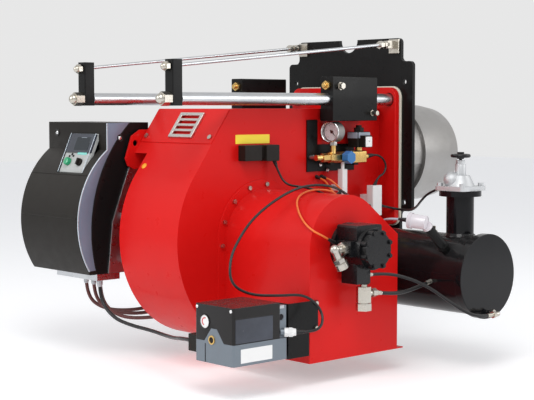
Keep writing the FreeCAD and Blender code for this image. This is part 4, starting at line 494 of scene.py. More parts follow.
# %% Cables and hoses
CORDS = [
    ("servo_cable", "control_cables", RUBBER, 4.0, 1.461, "medium",
     [(-857.0, -609.1, -476), (-825.4, -636.8, -476), (-784, -642, -466), (-760, -622, -430),
      (-778, -602, -393), (-818, -590, -372), (-885, -568, -372), (-958, -522, -368),
      (-1003, -490, -335), (-990, -472, -272), (-951, -456, -225), (-885, -448, -160),
      (-792, -445, -108), (-692, -440, -74), (-600, -430, -68), (-500, -400, -78), (-410, -350, -96),
      (-325, -302, -120), (-252, -262, -136), (-200, -242, -158), (-149, -236, -168)]),
    ("plug_lead", "control_cables", RUBBER, 3.5, 0.400, "medium",
     [(-566, -204, 0), (-556, -216, -46), (-548, -244, -80), (-520, -290, -84), (-462, -306, -100),
      (-385, -280, -126), (-332, -244, -122), (-286, -229, -115)]),
    ("sensor_lead", "control_cables", SENSOR, 3.5, 0.453, "medium",
     [(-276, -229, -132), (-280, -240, -170), (-296, -285, -192), (-330, -350, -200), (-365, -425, -200),
      (-392, -495, -192), (-406.3, -565, -172.8), (-384.6, -620.6, -179)]),
    ("switch_lead", "control_cables", RUBBER, 3.5, 0.203, "limp",
     [(-154, -225, 3), (-116, -226, 9), (-80, -229, -2), (-62, -232, -32), (-78, -235, -60),
      (-110, -237, -68), (-127, -236, -98)]),
    ("tank_lead", "control_cables", RUBBER, 4.0, 0.457, "medium",
     [(-106, -236, -166), (-56, -240, -177), (-38, -286, -184), (-58, -346, -180), (-105, -410, -162),
      (-158, -476, -134), (-188, -535, -104), (-188, -590, -86)]),
    ("ignition_lead_1", "ignition_leads", ORANGE, 3.0, 0.420, "medium",
     [(-330, -180, -62), (-330, -224, -68), (-306, -252, -104), (-270, -260, -146), (-222, -266, -188),
      (-164, -258, -216), (-112, -236, -228), (-78, -206, -226), (-70, -164, -222)]),
    ("ignition_lead_2", "ignition_leads", ORANGE, 3.0, 0.748, "medium",
     [(-352, -180, -62), (-356, -224, -70), (-385, -275, -92), (-424, -340, -110), (-462, -390, -112),
      (-512, -412, -92), (-580, -414, -83), (-645, -419, -91), (-690, -436, -110), (-724, -480, -143),
      (-748, -532, -173), (-752, -572, -193), (-722, -586, -209), (-673, -582, -232)]),
    ("pump_hose", "oil_hoses", HOSE, 5.0, 0.480, "stiff",
     [(-570, -616, -334), (-500, -616, -334), (-428, -640, -348), (-366, -684, -380), (-330, -738, -424),
      (-298, -784, -460), (-245, -798, -474), (-191, -798, -474)]),
    ("valve_hose", "oil_hoses", HOSE, 6.0, 0.255, "stiff",
     [(-542, -628, -388), (-468, -632, -400), (-388, -634, -396), (-290, -630, -376)]),
    ("harness_1", "cabinet_harness", RUBBER, 6.0, 0.709, "medium",
     [(-945, 232, -396), (-945, 232, -460), (-940, 165, -515), (-935, 70, -530), (-938, -30, -532),
      (-955, -130, -535), (-990, -220, -528), (-1030, -300, -513), (-1043, -379, -509)]),
    ("harness_2", "cabinet_harness", OXBLOOD, 6.0, 0.284, "medium",
     [(-925, 256, -396), (-925, 256, -462), (-895, 222, -514), (-838, 178, -532), (-790, 114, -520)]),
    ("harness_3", "cabinet_harness", OXBLOOD, 6.0, 0.355, "medium",
     [(-920, 300, -396), (-920, 300, -462), (-884, 262, -508), (-820, 206, -520), (-752, 160, -508),
      (-722, 114, -492)]),
    ("harness_4", "cabinet_harness", OXBLOOD, 6.0, 0.447, "medium",
     [(-915, 350, -396), (-915, 350, -464), (-878, 304, -508), (-806, 246, -514), (-728, 190, -496),
      (-668, 150, -474), (-640, 114, -462)]),
]
for row in CORDS:
    cord_line(*row)
print("cords", len(CORDS))

# %% [markdown]
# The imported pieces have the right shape, but their curves are flat facets and their edges are knife
# sharp. A finished copy joins the loose triangles, merges what is flat, shades curves smoothly and rounds
# the edges with a small bevel, as paint and sheet metal do. It stands for its node and stays exactly
# where the node is.

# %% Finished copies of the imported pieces
WELD_GAP = 2e-6
FLAT_ANGLE, SMOOTH_ANGLE, BEVEL_ANGLE = (math.radians(a) for a in (0.6, 32, 38))


def finished_copy(node, material, bevel):
    """Joined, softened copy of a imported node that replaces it; bevel in millimetres."""
    source = nodes[node]
    mesh = source.data.copy()
    work = bmesh.new()
    work.from_mesh(mesh)
    bmesh.ops.remove_doubles(work, verts=work.verts, dist=WELD_GAP)
    bmesh.ops.dissolve_limit(work, angle_limit=FLAT_ANGLE, verts=work.verts, edges=work.edges)
    work.to_mesh(mesh)
    work.free()
    mesh.materials.clear()
    mesh.materials.append(material)
    mesh.shade_smooth()
    mesh.set_sharp_from_angle(angle=SMOOTH_ANGLE)
    piece = bpy.data.objects.new(node + "_finished", mesh)
    bpy.context.collection.objects.link(piece)
    if bevel:
        rounding = piece.modifiers.new("rounded_edges", "BEVEL")
        rounding.width = bevel / MM
        rounding.segments = 2
        rounding.limit_method = "ANGLE"
        rounding.angle_limit = BEVEL_ANGLE
        rounding.harden_normals = True
    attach(piece, node_body[node])
    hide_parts(node)


FINISHED = {
    "mounting_plate": (BLACK, 1.5), "plate_gasket": (ROPE, 3.0), "guide_bars": (ZINC, 1.0),
    "rear_straps": (BLACK, 1.5), "tie_rods": (ZINC, 0.0), "rod_fittings": (ZINC_NUT, 0.8),
    "blast_tube": (STAINLESS, 0.0), "flame_barrel": (STAINLESS, 0.0), "burner_housing": (RED, 1.0),
    "front_flange": (RED, 3.0), "slide_blocks": (BLACK, 1.5), "lubricators": (BRASS, 0.8),
    "rear_cover": (RED, 1.0), "vent_grille": (GRILLE, 1.2), "air_intake_box": (RED, 1.2),
    "inlet_bell": (WHEEL, 0.0), "fan_motor": (CAST, 1.0), "oil_gun": (STAINLESS, 0.8),
    "gun_supports": (ZINC, 0.8), "ignition_electrodes": (PORCELAIN, 0.5), "oil_pump": (PUMP, 2.0),
    "pump_cover": (PUMP, 1.2), "pump_fittings": (ZINC_NUT, 1.0), "servo_casing": (CAST, 1.5),
    "servo_hood": (HOOD, 2.0), "servo_bracket": (BLACK, 0.8), "machine_screws": (ZINC_NUT, 0.6),
    "preheater_tank": (ENAMEL, 1.2), "heating_elements": (STAINLESS, 0.0), "tank_caps": (ENAMEL, 2.0),
    "tank_saddles": (BLACK, 1.0), "strainer_bonnet": (BONNET, 2.0), "tank_thermostat": (BLACK, 1.0),
    "valve_bracket": (BLACK, 0.8), "valve_manifold": (BRASS, 1.0), "pressure_gauge": (STAINLESS, 0.8),
    "solenoid_valve": (MOULDED, 1.5), "pressure_switches": (WHITE, 1.0), "lifting_lug": (RED, 1.0),
    "cabinet_cover": (MOULDED, 4.0), "cabinet_case": (BLACK, 1.2), "control_plate": (PLATE_GREY, 0.8),
    "cabinet_brackets": (ZINC, 0.8), "relay_rack": (PLATE_GREY, 1.0), "plug_connectors": (MOULDED, 1.2),
    "fan_wheel": (WHEEL, 0.0), "motor_shaft": (ZINC, 0.5), "front_damper": (ZINC, 0.4),
    "cam_disc": (ZINC, 0.8), "rear_damper": (ZINC, 0.4), "damper_link": (ZINC, 0.6),
    "diffuser": (STAINLESS, 0.4), "gauge_needle": (NEEDLE, 0.2), "valve_handwheel": (PUMP, 1.0),
    "regulator_knob": (BLUE, 1.5), "selector_knob": (MOULDED, 0.8),
}
for node, (material, bevel) in FINISHED.items():
    finished_copy(node, material, bevel)
print("finished", len(FINISHED), "and cords for", sorted(set(nodes) - set(FINISHED)))

# %% [markdown]
# The tank thermostat is a black pocket with a milky moulded head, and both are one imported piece. Its
# faces past a certain way up the pocket get a second material.

# %% Milky head of the thermostat
POCKET_FOOT = np.array((-0.252, -0.667, -0.284))
POCKET_RUN = np.array((-0.754, 0.0, 0.657))
HEAD_FROM = 0.126
thermostat = bpy.data.objects["tank_thermostat_finished"].data
thermostat.materials.append(MILKY)
centres = np.empty(len(thermostat.polygons) * 3)
thermostat.polygons.foreach_get("center", centres)
on_head = (centres.reshape(-1, 3) - POCKET_FOOT) @ POCKET_RUN > HEAD_FROM
thermostat.polygons.foreach_set("material_index", on_head.astype(np.int32))
print("milky faces", int(on_head.sum()))

# %% [markdown]
# The small fittings that finish the picture are all skins: rows of points that are joined row to row. One
# function builds the mesh from the rows, so each fitting only has to say what its rows are.

# %% Skins from rows of points


def skin(name, node, material, bodies, closed=False, smooth=35):
    """One piece from grids of points in millimetres: faces join each row to the next, and end rows are
    capped, or the last row returns to the first when closed."""
    points, faces = [], []
    start = 0
    for rows in bodies:
        count, across = rows.shape[:2]
        ring = np.arange(across)
        after = (ring + 1) % across
        row = np.arange(count if closed else count - 1)[:, None]
        low = start + row * across
        high = start + (row + 1) % count * across
        quads = np.stack([low + ring, low + after, high + after, high + ring], axis=2)
        faces += quads.reshape(-1, 4).tolist()
        if not closed:
            faces.append((start + ring[::-1]).tolist())
            faces.append((start + (count - 1) * across + ring).tolist())
        points.append(rows.reshape(-1, 3) / MM)
        start += count * across
    mesh = bpy.data.meshes.new(name)
    mesh.from_pydata(np.concatenate(points).tolist(), [], faces)
    work = bmesh.new()
    work.from_mesh(mesh)
    bmesh.ops.recalc_face_normals(work, faces=work.faces)
    work.to_mesh(mesh)
    work.free()
    mesh.shade_smooth()
    mesh.set_sharp_from_angle(angle=math.radians(smooth))
    mesh.materials.append(material)
    piece = bpy.data.objects.new(name, mesh)
    bpy.context.collection.objects.link(piece)
    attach(piece, node_body[node])


print("skins ready")

# %% [markdown]
# A turned part has a circle in each row, a plate has a rounded rectangle, and a sleeve or bead has a
# circle carried along a path. Nuts and screw heads are turned profiles.

# %% Turned parts, plates and beads
FRONT = (-1.0, 0.0, 0.0)
NEAR = (0.0, -1.0, 0.0)
UP = np.array((0.0, 0.0, 1.0))


def full_turn(steps):
    """Equal angles once round, without the last that would repeat the first."""
    return np.arange(steps) * 2 * math.pi / steps


def circle(angle, side, up):
    """Points of a unit circle: side * cos a + up * sin a."""
    return np.cos(angle)[:, None] * side + np.sin(angle)[:, None] * up


def frame_of(axis):
    """Unit axis with two unit directions square to it."""
    axis = np.array(axis, float)
    axis /= np.linalg.norm(axis)
    helper = UP if abs(axis[2]) < 0.9 else np.array((1.0, 0.0, 0.0))
    side = np.cross(helper, axis)
    side /= np.linalg.norm(side)
    return axis, side, np.cross(axis, side)


def turned(profile, place, axis, steps=40, turn=0.0):
    """Rows of a turned part: place + axis * height + radius * circle, at equal angles."""
    profile = np.array(profile, float)
    axis, side, up = frame_of(axis)
    ring = circle(turn + full_turn(steps), side, up)
    return np.array(place, float) + profile[:, 1, None, None] * axis + profile[:, 0, None, None] * ring


def slab(place, normal, up, width, height, thick, corner, round_off=0.4):
    """Rows of a plate: a rectangle with quarter circles as corners, drawn in a little at its front face."""
    normal, up = np.array(normal, float), np.array(up, float)
    normal /= np.linalg.norm(normal)
    up = up / np.linalg.norm(up)
    right = np.cross(up, normal)
    angle = full_turn(24) + math.pi / 48
    arc = circle(angle, (1, 0), (0, 1))
    reach = np.array((width / 2 - corner, height / 2 - corner))
    rows = []
    for inset, level in ((0, 0), (0, thick - round_off), (round_off, thick)):
        flat = np.sign(arc) * reach + arc * (corner - inset)
        rows.append(np.array(place, float) + normal * level + flat[:, :1] * right + flat[:, 1:] * up)
    return np.array(rows)


def along(path, radii, steps=16):
    """Rows of a bead or sleeve: a circle with its own radius round each point of a path, square to it."""
    path = np.array(path, float)
    radii = np.broadcast_to(np.array(radii, float), (len(path),))
    run = np.gradient(path, axis=0)
    run /= np.linalg.norm(run, axis=1)[:, None]
    helper = np.eye(3)[np.argmin(np.abs(run).mean(axis=0))]
    side = np.cross(run, helper)
    side /= np.linalg.norm(side, axis=1)[:, None]
    up = np.cross(run, side)
    return path[:, None] + radii[:, None, None] * circle(full_turn(steps), side[:, None], up[:, None])


def hexagon_head(radius, height):
    """Profile of a hexagon head or nut with its chamfer, and a domed end of the screw in it."""
    return [(radius, 0), (radius, height * 0.8), (radius * 0.86, height), (radius * 0.5, height),
            (radius * 0.46, height * 1.35), (radius * 0.2, height * 1.5)]


def pan_head(radius, height):
    """Profile of a round screw head: a short wall and a dome."""
    return [(radius, 0), (radius, height * 0.35), (radius * 0.85, height * 0.75), (radius * 0.5, height),
            (radius * 0.42, height), (radius * 0.36, height * 0.7), (0.3, height * 0.7)]


print("rows ready")

# %% [markdown]
# A lead never leaves a housing bare: a moulded sleeve grips it there and tapers along it, so that it
# can't kink. The sleeve follows the cord's own line, read from the spline as Blender draws it, and its
# ribs are a cosine on its radius.

# %% Sleeves where the leads leave their housings


def drawn_line(points):
    """Points of the smooth line that a cord's spline follows, in millimetres."""
    curve = curve_along("line", points, 24)
    holder = bpy.data.objects.new("line", curve)
    bpy.context.collection.objects.link(holder)
    bpy.context.view_layer.update()
    mesh = bpy.data.meshes.new_from_object(holder)
    line = np.empty(len(mesh.vertices) * 3)
    mesh.vertices.foreach_get("co", line)
    bpy.data.objects.remove(holder)
    bpy.data.curves.remove(curve)
    bpy.data.meshes.remove(mesh)
    return line.reshape(-1, 3) * MM


RIPPLE, RIBBED_SHARE = 0.35, 0.92
PLAY, TAPER = 0.35, 0.7


def sleeve(name, node, material, cord_name, length, thick, radius, from_end=False, ribs=6):
    """Tapered sleeve on the first stretch of a cord: radius + thick * (1 - s)^taper, with ribs."""
    line = drawn_line(ROUTES[cord_name])
    if from_end:
        line = line[::-1]
    walked = np.concatenate([[0], np.cumsum(np.linalg.norm(np.diff(line, axis=0), axis=1))])
    place = np.linspace(0, length, 49)
    path = np.stack([np.interp(place, walked, line[:, k]) for k in range(3)], axis=1)
    share = place / length
    ripple = RIPPLE * np.cos(share * ribs * 2 * math.pi) * (share < RIBBED_SHARE)
    radii = radius + PLAY + thick * (1 - share) ** TAPER + ripple
    skin(name, node, material, [along(path, radii, 20)], smooth=50)


ROUTES = {row[0]: row[-1] for row in CORDS}
RADII = {row[0]: row[3] for row in CORDS}
SLEEVES = [
    ("servo_gland_sleeve", "servo_casing", "servo_cable", 30, 3.0, False),
    ("servo_end_sleeve", "pressure_switches", "servo_cable", 22, 2.5, True),
    ("plug_sleeve", "plug_connectors", "plug_lead", 24, 3.5, False),
    ("plug_end_sleeve", "pressure_switches", "plug_lead", 20, 2.0, True),
    ("sensor_sleeve", "pressure_switches", "sensor_lead", 22, 2.5, False, "black_plastic", GLAND_GREY),
    ("sensor_head_sleeve", "tank_thermostat", "sensor_lead", 34, 4.0, True),
    ("coil_plug_sleeve", "solenoid_valve", "switch_lead", 34, 5.0, False),
    ("switch_end_sleeve", "pressure_switches", "switch_lead", 24, 2.5, True),
    ("tank_lead_sleeve", "pressure_switches", "tank_lead", 22, 2.5, False),
    ("tank_end_sleeve", "strainer_bonnet", "tank_lead", 30, 3.0, True, "zinc_steel", ZINC_NUT),
    ("ignition_boot_1", "burner_housing", "ignition_lead_1", 26, 3.5, False),
    ("ignition_boot_2", "burner_housing", "ignition_lead_2", 26, 3.5, False),
    ("ignition_end_1", "burner_housing", "ignition_lead_1", 28, 3.0, True),
    ("ignition_end_2", "oil_pump", "ignition_lead_2", 32, 3.5, True),
]
for name, node, cord_name, length, thick, from_end, *look in SLEEVES:
    slot, material = look or ("black_plastic", RUBBER)
    sleeve(name, node, material, cord_name, length, thick, RADII[cord_name], from_end)
for number, cord_name in enumerate(("pump_hose", "valve_hose")):
    for from_end in (False, True):
        sleeve("hose_ferrule_%d_%d" % (number, from_end), "oil_hoses", ZINC_NUT, cord_name,
               24, 0.6, 5.4 + number, from_end, ribs=4)
print("sleeves", len(SLEEVES) + 4)

# %% [markdown]
# The four cables leave the cabinet through plastic glands: a hexagon below the plate, then a dome nut
# that squeezes a seal. A turned profile with six steps gives the hexagon and one with forty gives the
# dome. The white gland on the actuator is the same thing, larger, round the alloy neck of its casing.

# %% Cable glands
GLAND_Z = -396.0
GLAND_PLACES = [(-945, 232), (-925, 256), (-920, 300), (-915, 350)]
for number, (x, y) in enumerate(GLAND_PLACES):
    collar = turned([(9.5, 0), (9.5, 7), (8.6, 8)], (x, y, GLAND_Z), (0, 0, -1), steps=6)
    dome = turned([(8.6, 8), (8.8, 14), (8.6, 18), (7.8, 22), (6.3, 24)], (x, y, GLAND_Z), (0, 0, -1))
    skin("cabinet_gland_%d" % number, "cabinet_brackets", GLAND_GREY, [collar, dome])
SERVO_NECK = (-890.0, -580.0, -476.0)
NECK_RUN = (0.75, -0.66, 0.0)
neck_collar = turned([(14, 11), (14, 21), (13, 22)], SERVO_NECK, NECK_RUN, steps=6)
NUT_PROFILE = [(12.4, 22), (12.8, 24), (12.8, 33), (12, 36), (10.6, 40), (10.3, 44.6), (5, 44.8)]
neck_nut = turned(NUT_PROFILE, SERVO_NECK, NECK_RUN)
NECK_AXIS, NECK_SIDE, NECK_UP = frame_of(NECK_RUN)
GRIPS, GRIP_R = 10, 12.6
grips = []
for lean in full_turn(GRIPS):
    outward = math.cos(lean) * NECK_SIDE + math.sin(lean) * NECK_UP
    rib = np.array(SERVO_NECK) + NECK_AXIS * np.linspace(24, 34, 7)[:, None] + outward * GRIP_R
    grips.append(along(rib, 1.1, 8))
skin("servo_gland", "servo_casing", WHITE, [neck_collar, neck_nut] + grips)
print("glands", len(GLAND_PLACES) + 1)

# %% [markdown]
# The pressure gauge gets what makes it a gauge: a card behind the needle, a scale, a bezel rolled round
# the glass. The scale runs 270 degrees round the pivot, with a long mark at every fifth step, and has no
# maker's text.

# %% Gauge
GAUGE_TURN = math.radians(13)
GAUGE_RUN = np.array((-math.cos(GAUGE_TURN), -math.sin(GAUGE_TURN), 0.0))
GAUGE_AT = np.array((-318.0, -225.0, 88.0))
GAUGE_SIDE = np.cross(GAUGE_RUN, UP)
CARD_LEVEL = 4.6
card = turned([(29.6, 4.0), (29.6, CARD_LEVEL), (2.4, CARD_LEVEL)], GAUGE_AT, GAUGE_RUN, steps=64)
skin("gauge_card", "pressure_gauge", DIAL, [card])
SCALE_STEPS, RED_FROM = 25, 21
SCALE_START, SCALE_SWEEP = 225, 270
SCALE_R = 26.4
marks, red_marks = [], []
for step in range(SCALE_STEPS + 1):
    lean = math.radians(SCALE_START - SCALE_SWEEP * step / SCALE_STEPS)
    outward = math.cos(lean) * GAUGE_SIDE + math.sin(lean) * UP
    wide, tall = (0.6, 3.2) if step % 5 else (1.1, 5.4)
    place = GAUGE_AT + GAUGE_RUN * CARD_LEVEL + outward * (SCALE_R - tall / 2)
    mark = slab(place, GAUGE_RUN, outward, wide, tall, 0.25, 0.25, 0.1)
    (red_marks if step >= RED_FROM else marks).append(mark)
skin("gauge_marks", "pressure_gauge", MARK, marks)
skin("gauge_red_marks", "pressure_gauge", MARK_RED, red_marks)
ROLL_R, ROLL_LEVEL = 33.0, 20.0
roll = circle(full_turn(12), (2.2, 0), (0, 2.6)) + (ROLL_R, ROLL_LEVEL)
bezel = turned(roll, GAUGE_AT, GAUGE_RUN, steps=72)
skin("gauge_bezel", "pressure_gauge", CHROME, [bezel], closed=True)
glass = turned([(29.9, 16.6), (29.9, 18.2), (4, 18.9)], GAUGE_AT, GAUGE_RUN, steps=64)
skin("gauge_glass", "pressure_gauge", GLASS, [glass])
print("gauge marks", len(marks) + len(red_marks))

# %% [markdown]
# The actuator shows a smoked window in its hood, a white disc that turns under a round lens to show the
# damper's place, a bronze bush for a second shaft, and the joint line between the two halves of its
# casing. Its label is a bare white plate, because labels carry no words here.

# %% Actuator front and side
SERVO_FRONT_X, SERVO_NEAR_Y, POST_Y = -1080.0, -590.0, -584.0
# The window's bluish patches come from its finish and are painted reflection.
skin("servo_window", "servo_hood", SMOKED_WITH_PAINTED_REFLECTION,
     [slab((-1001, SERVO_NEAR_Y, -455), NEAR, UP, 142, 68, 0.9, 4)])
skin("servo_window_rim", "servo_hood", HOOD,
     [along([(-1074, -590.2, -418), (-1000, -590.2, -418), (-928, -590.2, -418)], 1.3, 10)])
skin("servo_label", "servo_casing", WHITE,
     [slab((-992, SERVO_NEAR_Y, -526), NEAR, UP, 120, 40, 0.6, 1.5, 0.2)])
DISC_AT = np.array((SERVO_FRONT_X, -468.0, -437.0))
POINTER_R, POINTER_X = 10.5, -1.1
skin("servo_lens_ring", "servo_hood", HOOD,
     [turned([(21.5, 0), (21.5, 2.2), (19.2, 2.8), (18.6, 0)], DISC_AT, FRONT, steps=56)], closed=True)
skin("servo_disc", "servo_hood", WHITE,
     [turned([(18.8, 0), (18.8, 0.8), (1, 1.1)], DISC_AT, FRONT, steps=56)])
sweep = np.linspace(math.radians(-70), math.radians(110), 19)
arc = np.stack([np.full(len(sweep), POINTER_X), POINTER_R * np.cos(sweep), POINTER_R * np.sin(sweep)], 1)
skin("servo_pointer", "servo_hood", MARK_RED, [along(DISC_AT + arc, 1.5, 8)])
BUSH_AT = (SERVO_FRONT_X, -498, -487)
bush = turned([(13, 0), (13, 2.4), (11.6, 3.0), (9, 2.6), (8.4, 0.1)], BUSH_AT, FRONT, steps=48)
skin("servo_bush", "servo_casing", BRASS, [bush], closed=True)
# A flat dark disc inside the bush is painted shade that stands for the shaft's hole.
skin("servo_bush_hole_painted_shade", "servo_casing", MARK,
     [turned([(8.6, 0), (8.6, 0.4), (1, 0.4)], BUSH_AT, FRONT)])
skin("servo_joint_line", "servo_casing", MARK,
     [slab((SERVO_FRONT_X, -469, -526), FRONT, UP, 3.4, 54, 0.5, 1.2, 0.2)])
POST_HOLE = (-893, POST_Y, -431)
# A flat dark disc in the post is painted shade that stands for its hole.
skin("servo_post_hole_painted_shade", "servo_casing", MARK,
     [turned([(9, 0), (9, 0.5), (1, 0.6)], POST_HOLE, NEAR)])
skin("servo_post_ring", "servo_casing", CAST,
     [turned([(11.5, 0), (11.5, 1.6), (9.4, 2.0), (8.8, 0.2)], POST_HOLE, NEAR)], closed=True)
skin("servo_post_tag", "servo_casing", GLAND_GREY,
     [slab((-892, POST_Y, -402), NEAR, UP, 22, 9, 0.8, 1, 0.3)])
HOOD_SCREWS = [((SERVO_FRONT_X, -434, -397), FRONT), ((SERVO_FRONT_X, -580, -397), FRONT),
               ((-896, POST_Y, -500), NEAR)]
for number, (place, run) in enumerate(HOOD_SCREWS):
    screw = turned(pan_head(5.2, 3.0), place, run, 28)
    skin("servo_screw_%d" % number, "servo_casing", CHROME, [screw])
print("actuator pieces done")

# %% [markdown]
# The wall beside the fan carries a bare yellow plate, and the bracket of the oil line has three nuts. An
# amber cap closes a hole in the sloping sheet beside the lifting lug, and a plug closes the vent on top
# of the tank. The rivets of the round air box are placed by their angle on it.

# %% Plates, nuts and caps
WALL = -181.0
skin("blank_plate", "burner_housing", YELLOW,
     [slab((-639, WALL, 68.5), NEAR, UP, 146, 29, 1.0, 2, 0.3)])
BRACKET_NUTS = [(-372, -186, 5), (-342, -186, -21), (-308, -186, -41)]
for number, place in enumerate(BRACKET_NUTS):
    nut = turned(hexagon_head(7.5, 6), place, NEAR, steps=6, turn=0.3 * number)
    skin("bracket_nut_%d" % number, "valve_bracket", CHROME, [nut])
SLOPE = (-0.81, 0.0, 0.58)
cap = turned([(10, 0), (10, 1.4), (9, 2.6), (6, 3.4), (2, 3.7)], (-865, 91, -20), SLOPE)
skin("amber_cap", "burner_housing", AMBER, [cap])
BOX_X, BOX_Z, BOX_R = -600.0, -250.0, 157.0
BOX_RIVETS = [(27.4, -438), (14.8, -300), (11.0, -500)]
for number, (lean, y) in enumerate(BOX_RIVETS):
    outward = np.array((-math.sin(math.radians(lean)), 0.0, math.cos(math.radians(lean))))
    place = (BOX_X, y, BOX_Z) + outward * BOX_R
    rivet = turned([(4.4, -1), (4.2, 1.0), (3, 2.0), (1, 2.4)], place, outward, 20)
    skin("box_rivet_%d" % number, "air_intake_box", RED, [rivet])
VENT = (-165.0, -530.0, -235.0)
vent_seat = turned([(17, -4), (17, 4), (15, 6)], VENT, UP, steps=32)
vent_head = turned([(12, 6), (12, 18), (10.5, 20)], VENT, UP, steps=6)
skin("tank_vent_plug", "preheater_tank", ZINC_NUT, [vent_seat, vent_head])
print("plates and plugs done")

# %% [markdown]
# Where the neck stands on the round tank, the welder left a bead. Its line is where two round tubes meet:
# at the angle a on the neck, the height is the square root of the tank's radius squared less the sideways
# reach squared. The bead's radius ripples like the scales of a weld.

# %% Weld bead at the foot of the neck
TANK_X, TANK_Z, TANK_R = -165.0, -360.0, 126.0
NECK_Y, WELD_R = -644.0, 45.5
BEAD_R, SCALE_DEPTH, SCALES = 3.4, 0.5, 48
angle = full_turn(144)
side = circle(angle, (1, 0, 0), (0, 1, 0))
reach = WELD_R * side
height = np.sqrt(TANK_R ** 2 - reach[:, 0] ** 2)
weld_path = np.array((TANK_X, NECK_Y, TANK_Z)) + reach + height[:, None] * UP
ripple = BEAD_R + SCALE_DEPTH * np.sin(angle * SCALES)
weld = weld_path[:, None] + ripple[:, None, None] * circle(full_turn(10), side[:, None], UP)
skin("neck_weld", "preheater_tank", ENAMEL, [weld], closed=True)
print("weld bead", len(weld_path))

# %% [markdown]
# The cabinet's cover has a blue grey band along its near side, between the pale edge of the front and the
# curved joint to the steel case. Both edges are arcs through three points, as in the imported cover; the
# band is the ruled surface between them. Two faint ribs cross the front where the moulding turns.

# %% Cabinet band, ribs and screws
CABINET_SIDE, COVER_FRONT = 200.0, -938.0
EDGE_STEPS = 60


def arc_through(a, b, c, count):
    """Points of the arc from a over b to c. The centre is equally far from all three: two equations."""
    a, b, c = (np.array(p, float) for p in (a, b, c))
    rows = np.array([b - a, c - a]) * 2
    centre = np.linalg.solve(rows, np.array([b @ b - a @ a, c @ c - a @ a]))
    radius = np.linalg.norm(a - centre)
    start, end = (math.atan2(*(p - centre)[::-1]) % (2 * math.pi) for p in (a, c))
    lean = np.linspace(start, end, count)
    return centre + radius * np.stack([np.cos(lean), np.sin(lean)], axis=1)


bow = arc_through((COVER_FRONT, 30), (-1054, -180), (-1004, -374), EDGE_STEPS)
upright = np.stack([np.full(12, COVER_FRONT), np.linspace(118, 32, 12)], axis=1)
front_line = np.concatenate([upright, bow[:-2]]) + (2.0, 0.0)
back_line = arc_through((-838, 120), (-992, -180), (-975, -374), len(front_line) + 2)[:-2] - (4.0, 0.0)
BAND_SECTION = [(0, 0), (0, -0.8), (0.02, -1.2), (0.5, -1.5), (0.98, -1.2), (1, -0.8), (1, 0)]
section = []
for share, level in BAND_SECTION:
    flat = front_line * (1 - share) + back_line * share
    level_line = np.full(len(front_line), CABINET_SIDE + level)
    section.append(np.stack([flat[:, 0], level_line, flat[:, 1]], axis=1))
skin("cabinet_band", "cabinet_cover", TRIM, [np.array(section).transpose(1, 0, 2)])
edge_line = np.full(len(front_line), CABINET_SIDE - 0.8)
edge = np.stack([front_line[:, 0] + 2.4, edge_line, front_line[:, 1]], axis=1)
skin("cabinet_band_edge", "cabinet_cover", TRIM_EDGE, [along(edge, 2.6, 12)])
for number, height in enumerate((-50, -188)):
    reach = np.interp(-height, -bow[:, 1], bow[:, 0])
    path = [(reach, y, height) for y in np.linspace(206, 524, 9)]
    skin("cover_rib_%d" % number, "cabinet_cover", MOULDED, [along(path, 1.8, 10)])
SCREW_WELLS = [((COVER_FRONT, 479, 84), FRONT, "cabinet_cover"),
               ((-881, CABINET_SIDE, 69), NEAR, "cabinet_case")]
for number, (place, run, node) in enumerate(SCREW_WELLS):
    well = turned([(12.5, 0), (12.5, 1.6), (11, 2.4), (8.4, 1.2), (8, 0.1)], place, run, steps=48)
    skin("cabinet_well_%d" % number, node, HOOD, [well], closed=True)
    screw = turned(pan_head(6.5, 3.2), place, run, 32)
    skin("cabinet_screw_%d" % number, node, CHROME, [screw])
print("cabinet band rows", len(front_line))

# %% [markdown]
# The slanted control plate holds a smoked panel with a dark display, a turquoise strip of keys, three
# round keys, a green lamp and the selector. They lie in the plate's own plane, whose two directions are
# worked out from its top and foot.

# %% Control plate
BAY_TOP = np.array((-945.0, 0.0, 86.0))
BAY_FOOT = np.array((-1004.0, 0.0, -46.0))
BAY_LONG = np.linalg.norm(BAY_FOOT - BAY_TOP)
BAY_RUN = (BAY_FOOT - BAY_TOP) / BAY_LONG
BAY_OUT = np.array((BAY_RUN[2], 0.0, -BAY_RUN[0]))


def on_plate(y, share, depth):
    """Point at a width, a share of the way down and a height over the line from top to foot."""
    return BAY_TOP + BAY_RUN * (share * BAY_LONG) + BAY_OUT * depth + np.array((0.0, y, 0.0))


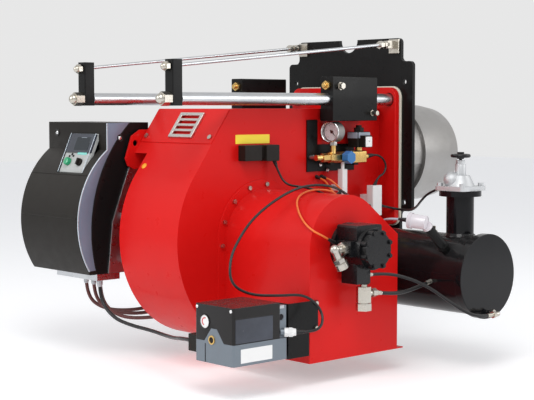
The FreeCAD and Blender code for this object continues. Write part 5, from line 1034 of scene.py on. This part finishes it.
def key(name, material, y, share, depth, width, height, thick, corner):
    """Flat key or window on the control plate."""
    body = slab(on_plate(y, share, depth), BAY_OUT, -BAY_RUN, width, height, thick, corner)
    skin(name, "control_plate", material, [body])


# The lid's bluish patches come from its finish and are painted reflection.
key("lid", SMOKED_WITH_PAINTED_REFLECTION, 312, 0.25, -7.9, 140, 66, 6.6, 3)
key("display", SCREEN, 300, 0.27, -1.3, 78, 46, 0.9, 2.5)
key("display_line", TRIM_EDGE, 300, 0.12, -0.4, 30, 1.4, 0.3, 0.5)
key("key_strip", STRIP, 286, 0.50, -4.0, 52, 9, 1.0, 1.5)
ROUND_KEYS = [(340, 0.53), (352, 0.58), (330, 0.57)]
for number, (y, share) in enumerate(ROUND_KEYS):
    button = turned([(4.2, 0), (4.2, 1.6), (3.4, 2.2), (0.6, 2.3)], on_plate(y, share, -4.0), BAY_OUT, 24)
    skin("round_key_%d" % number, "control_plate", HOOD, [button])
LAMP_PROFILE = [(13.4, -4), (13.4, 7.6), (12.2, 9.6), (7, 11.4), (1, 11.9)]
lamp = turned(LAMP_PROFILE, on_plate(346, 0.72, 0), BAY_OUT, 48)
skin("green_lamp", "control_plate", GREEN, [lamp])
for number, y in enumerate((242, 382)):
    path = [on_plate(y, share, 0.5) for share in np.linspace(0.02, 0.98, 9)]
    skin("bay_edge_%d" % number, "cabinet_cover", TRIM_EDGE, [along(path, 1.1, 10)])
print("control plate pieces done")

# %% [markdown]
# The solenoid's coil is a grey moulding above its black base, and its plug is pale. Thin shells on the
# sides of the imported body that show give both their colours, and a screw holds the plug.

# %% Solenoid covers
skin("coil_cover", "solenoid_valve", COIL_GREY,
     [slab((-194, -250, 75), NEAR, UP, 56, 20, 1.6, 3), slab((-224, -225, 75), FRONT, UP, 46, 20, 1.4, 3)])
skin("plug_cover", "solenoid_valve", WHITE,
     [slab((-198, -275, 54), NEAR, UP, 30, 34, 1.6, 3)])
screw = turned(pan_head(3.6, 2.2), (-198, -276.6, 58), NEAR, 24)
skin("plug_screw", "solenoid_valve", CHROME, [screw])
print("solenoid covers done")
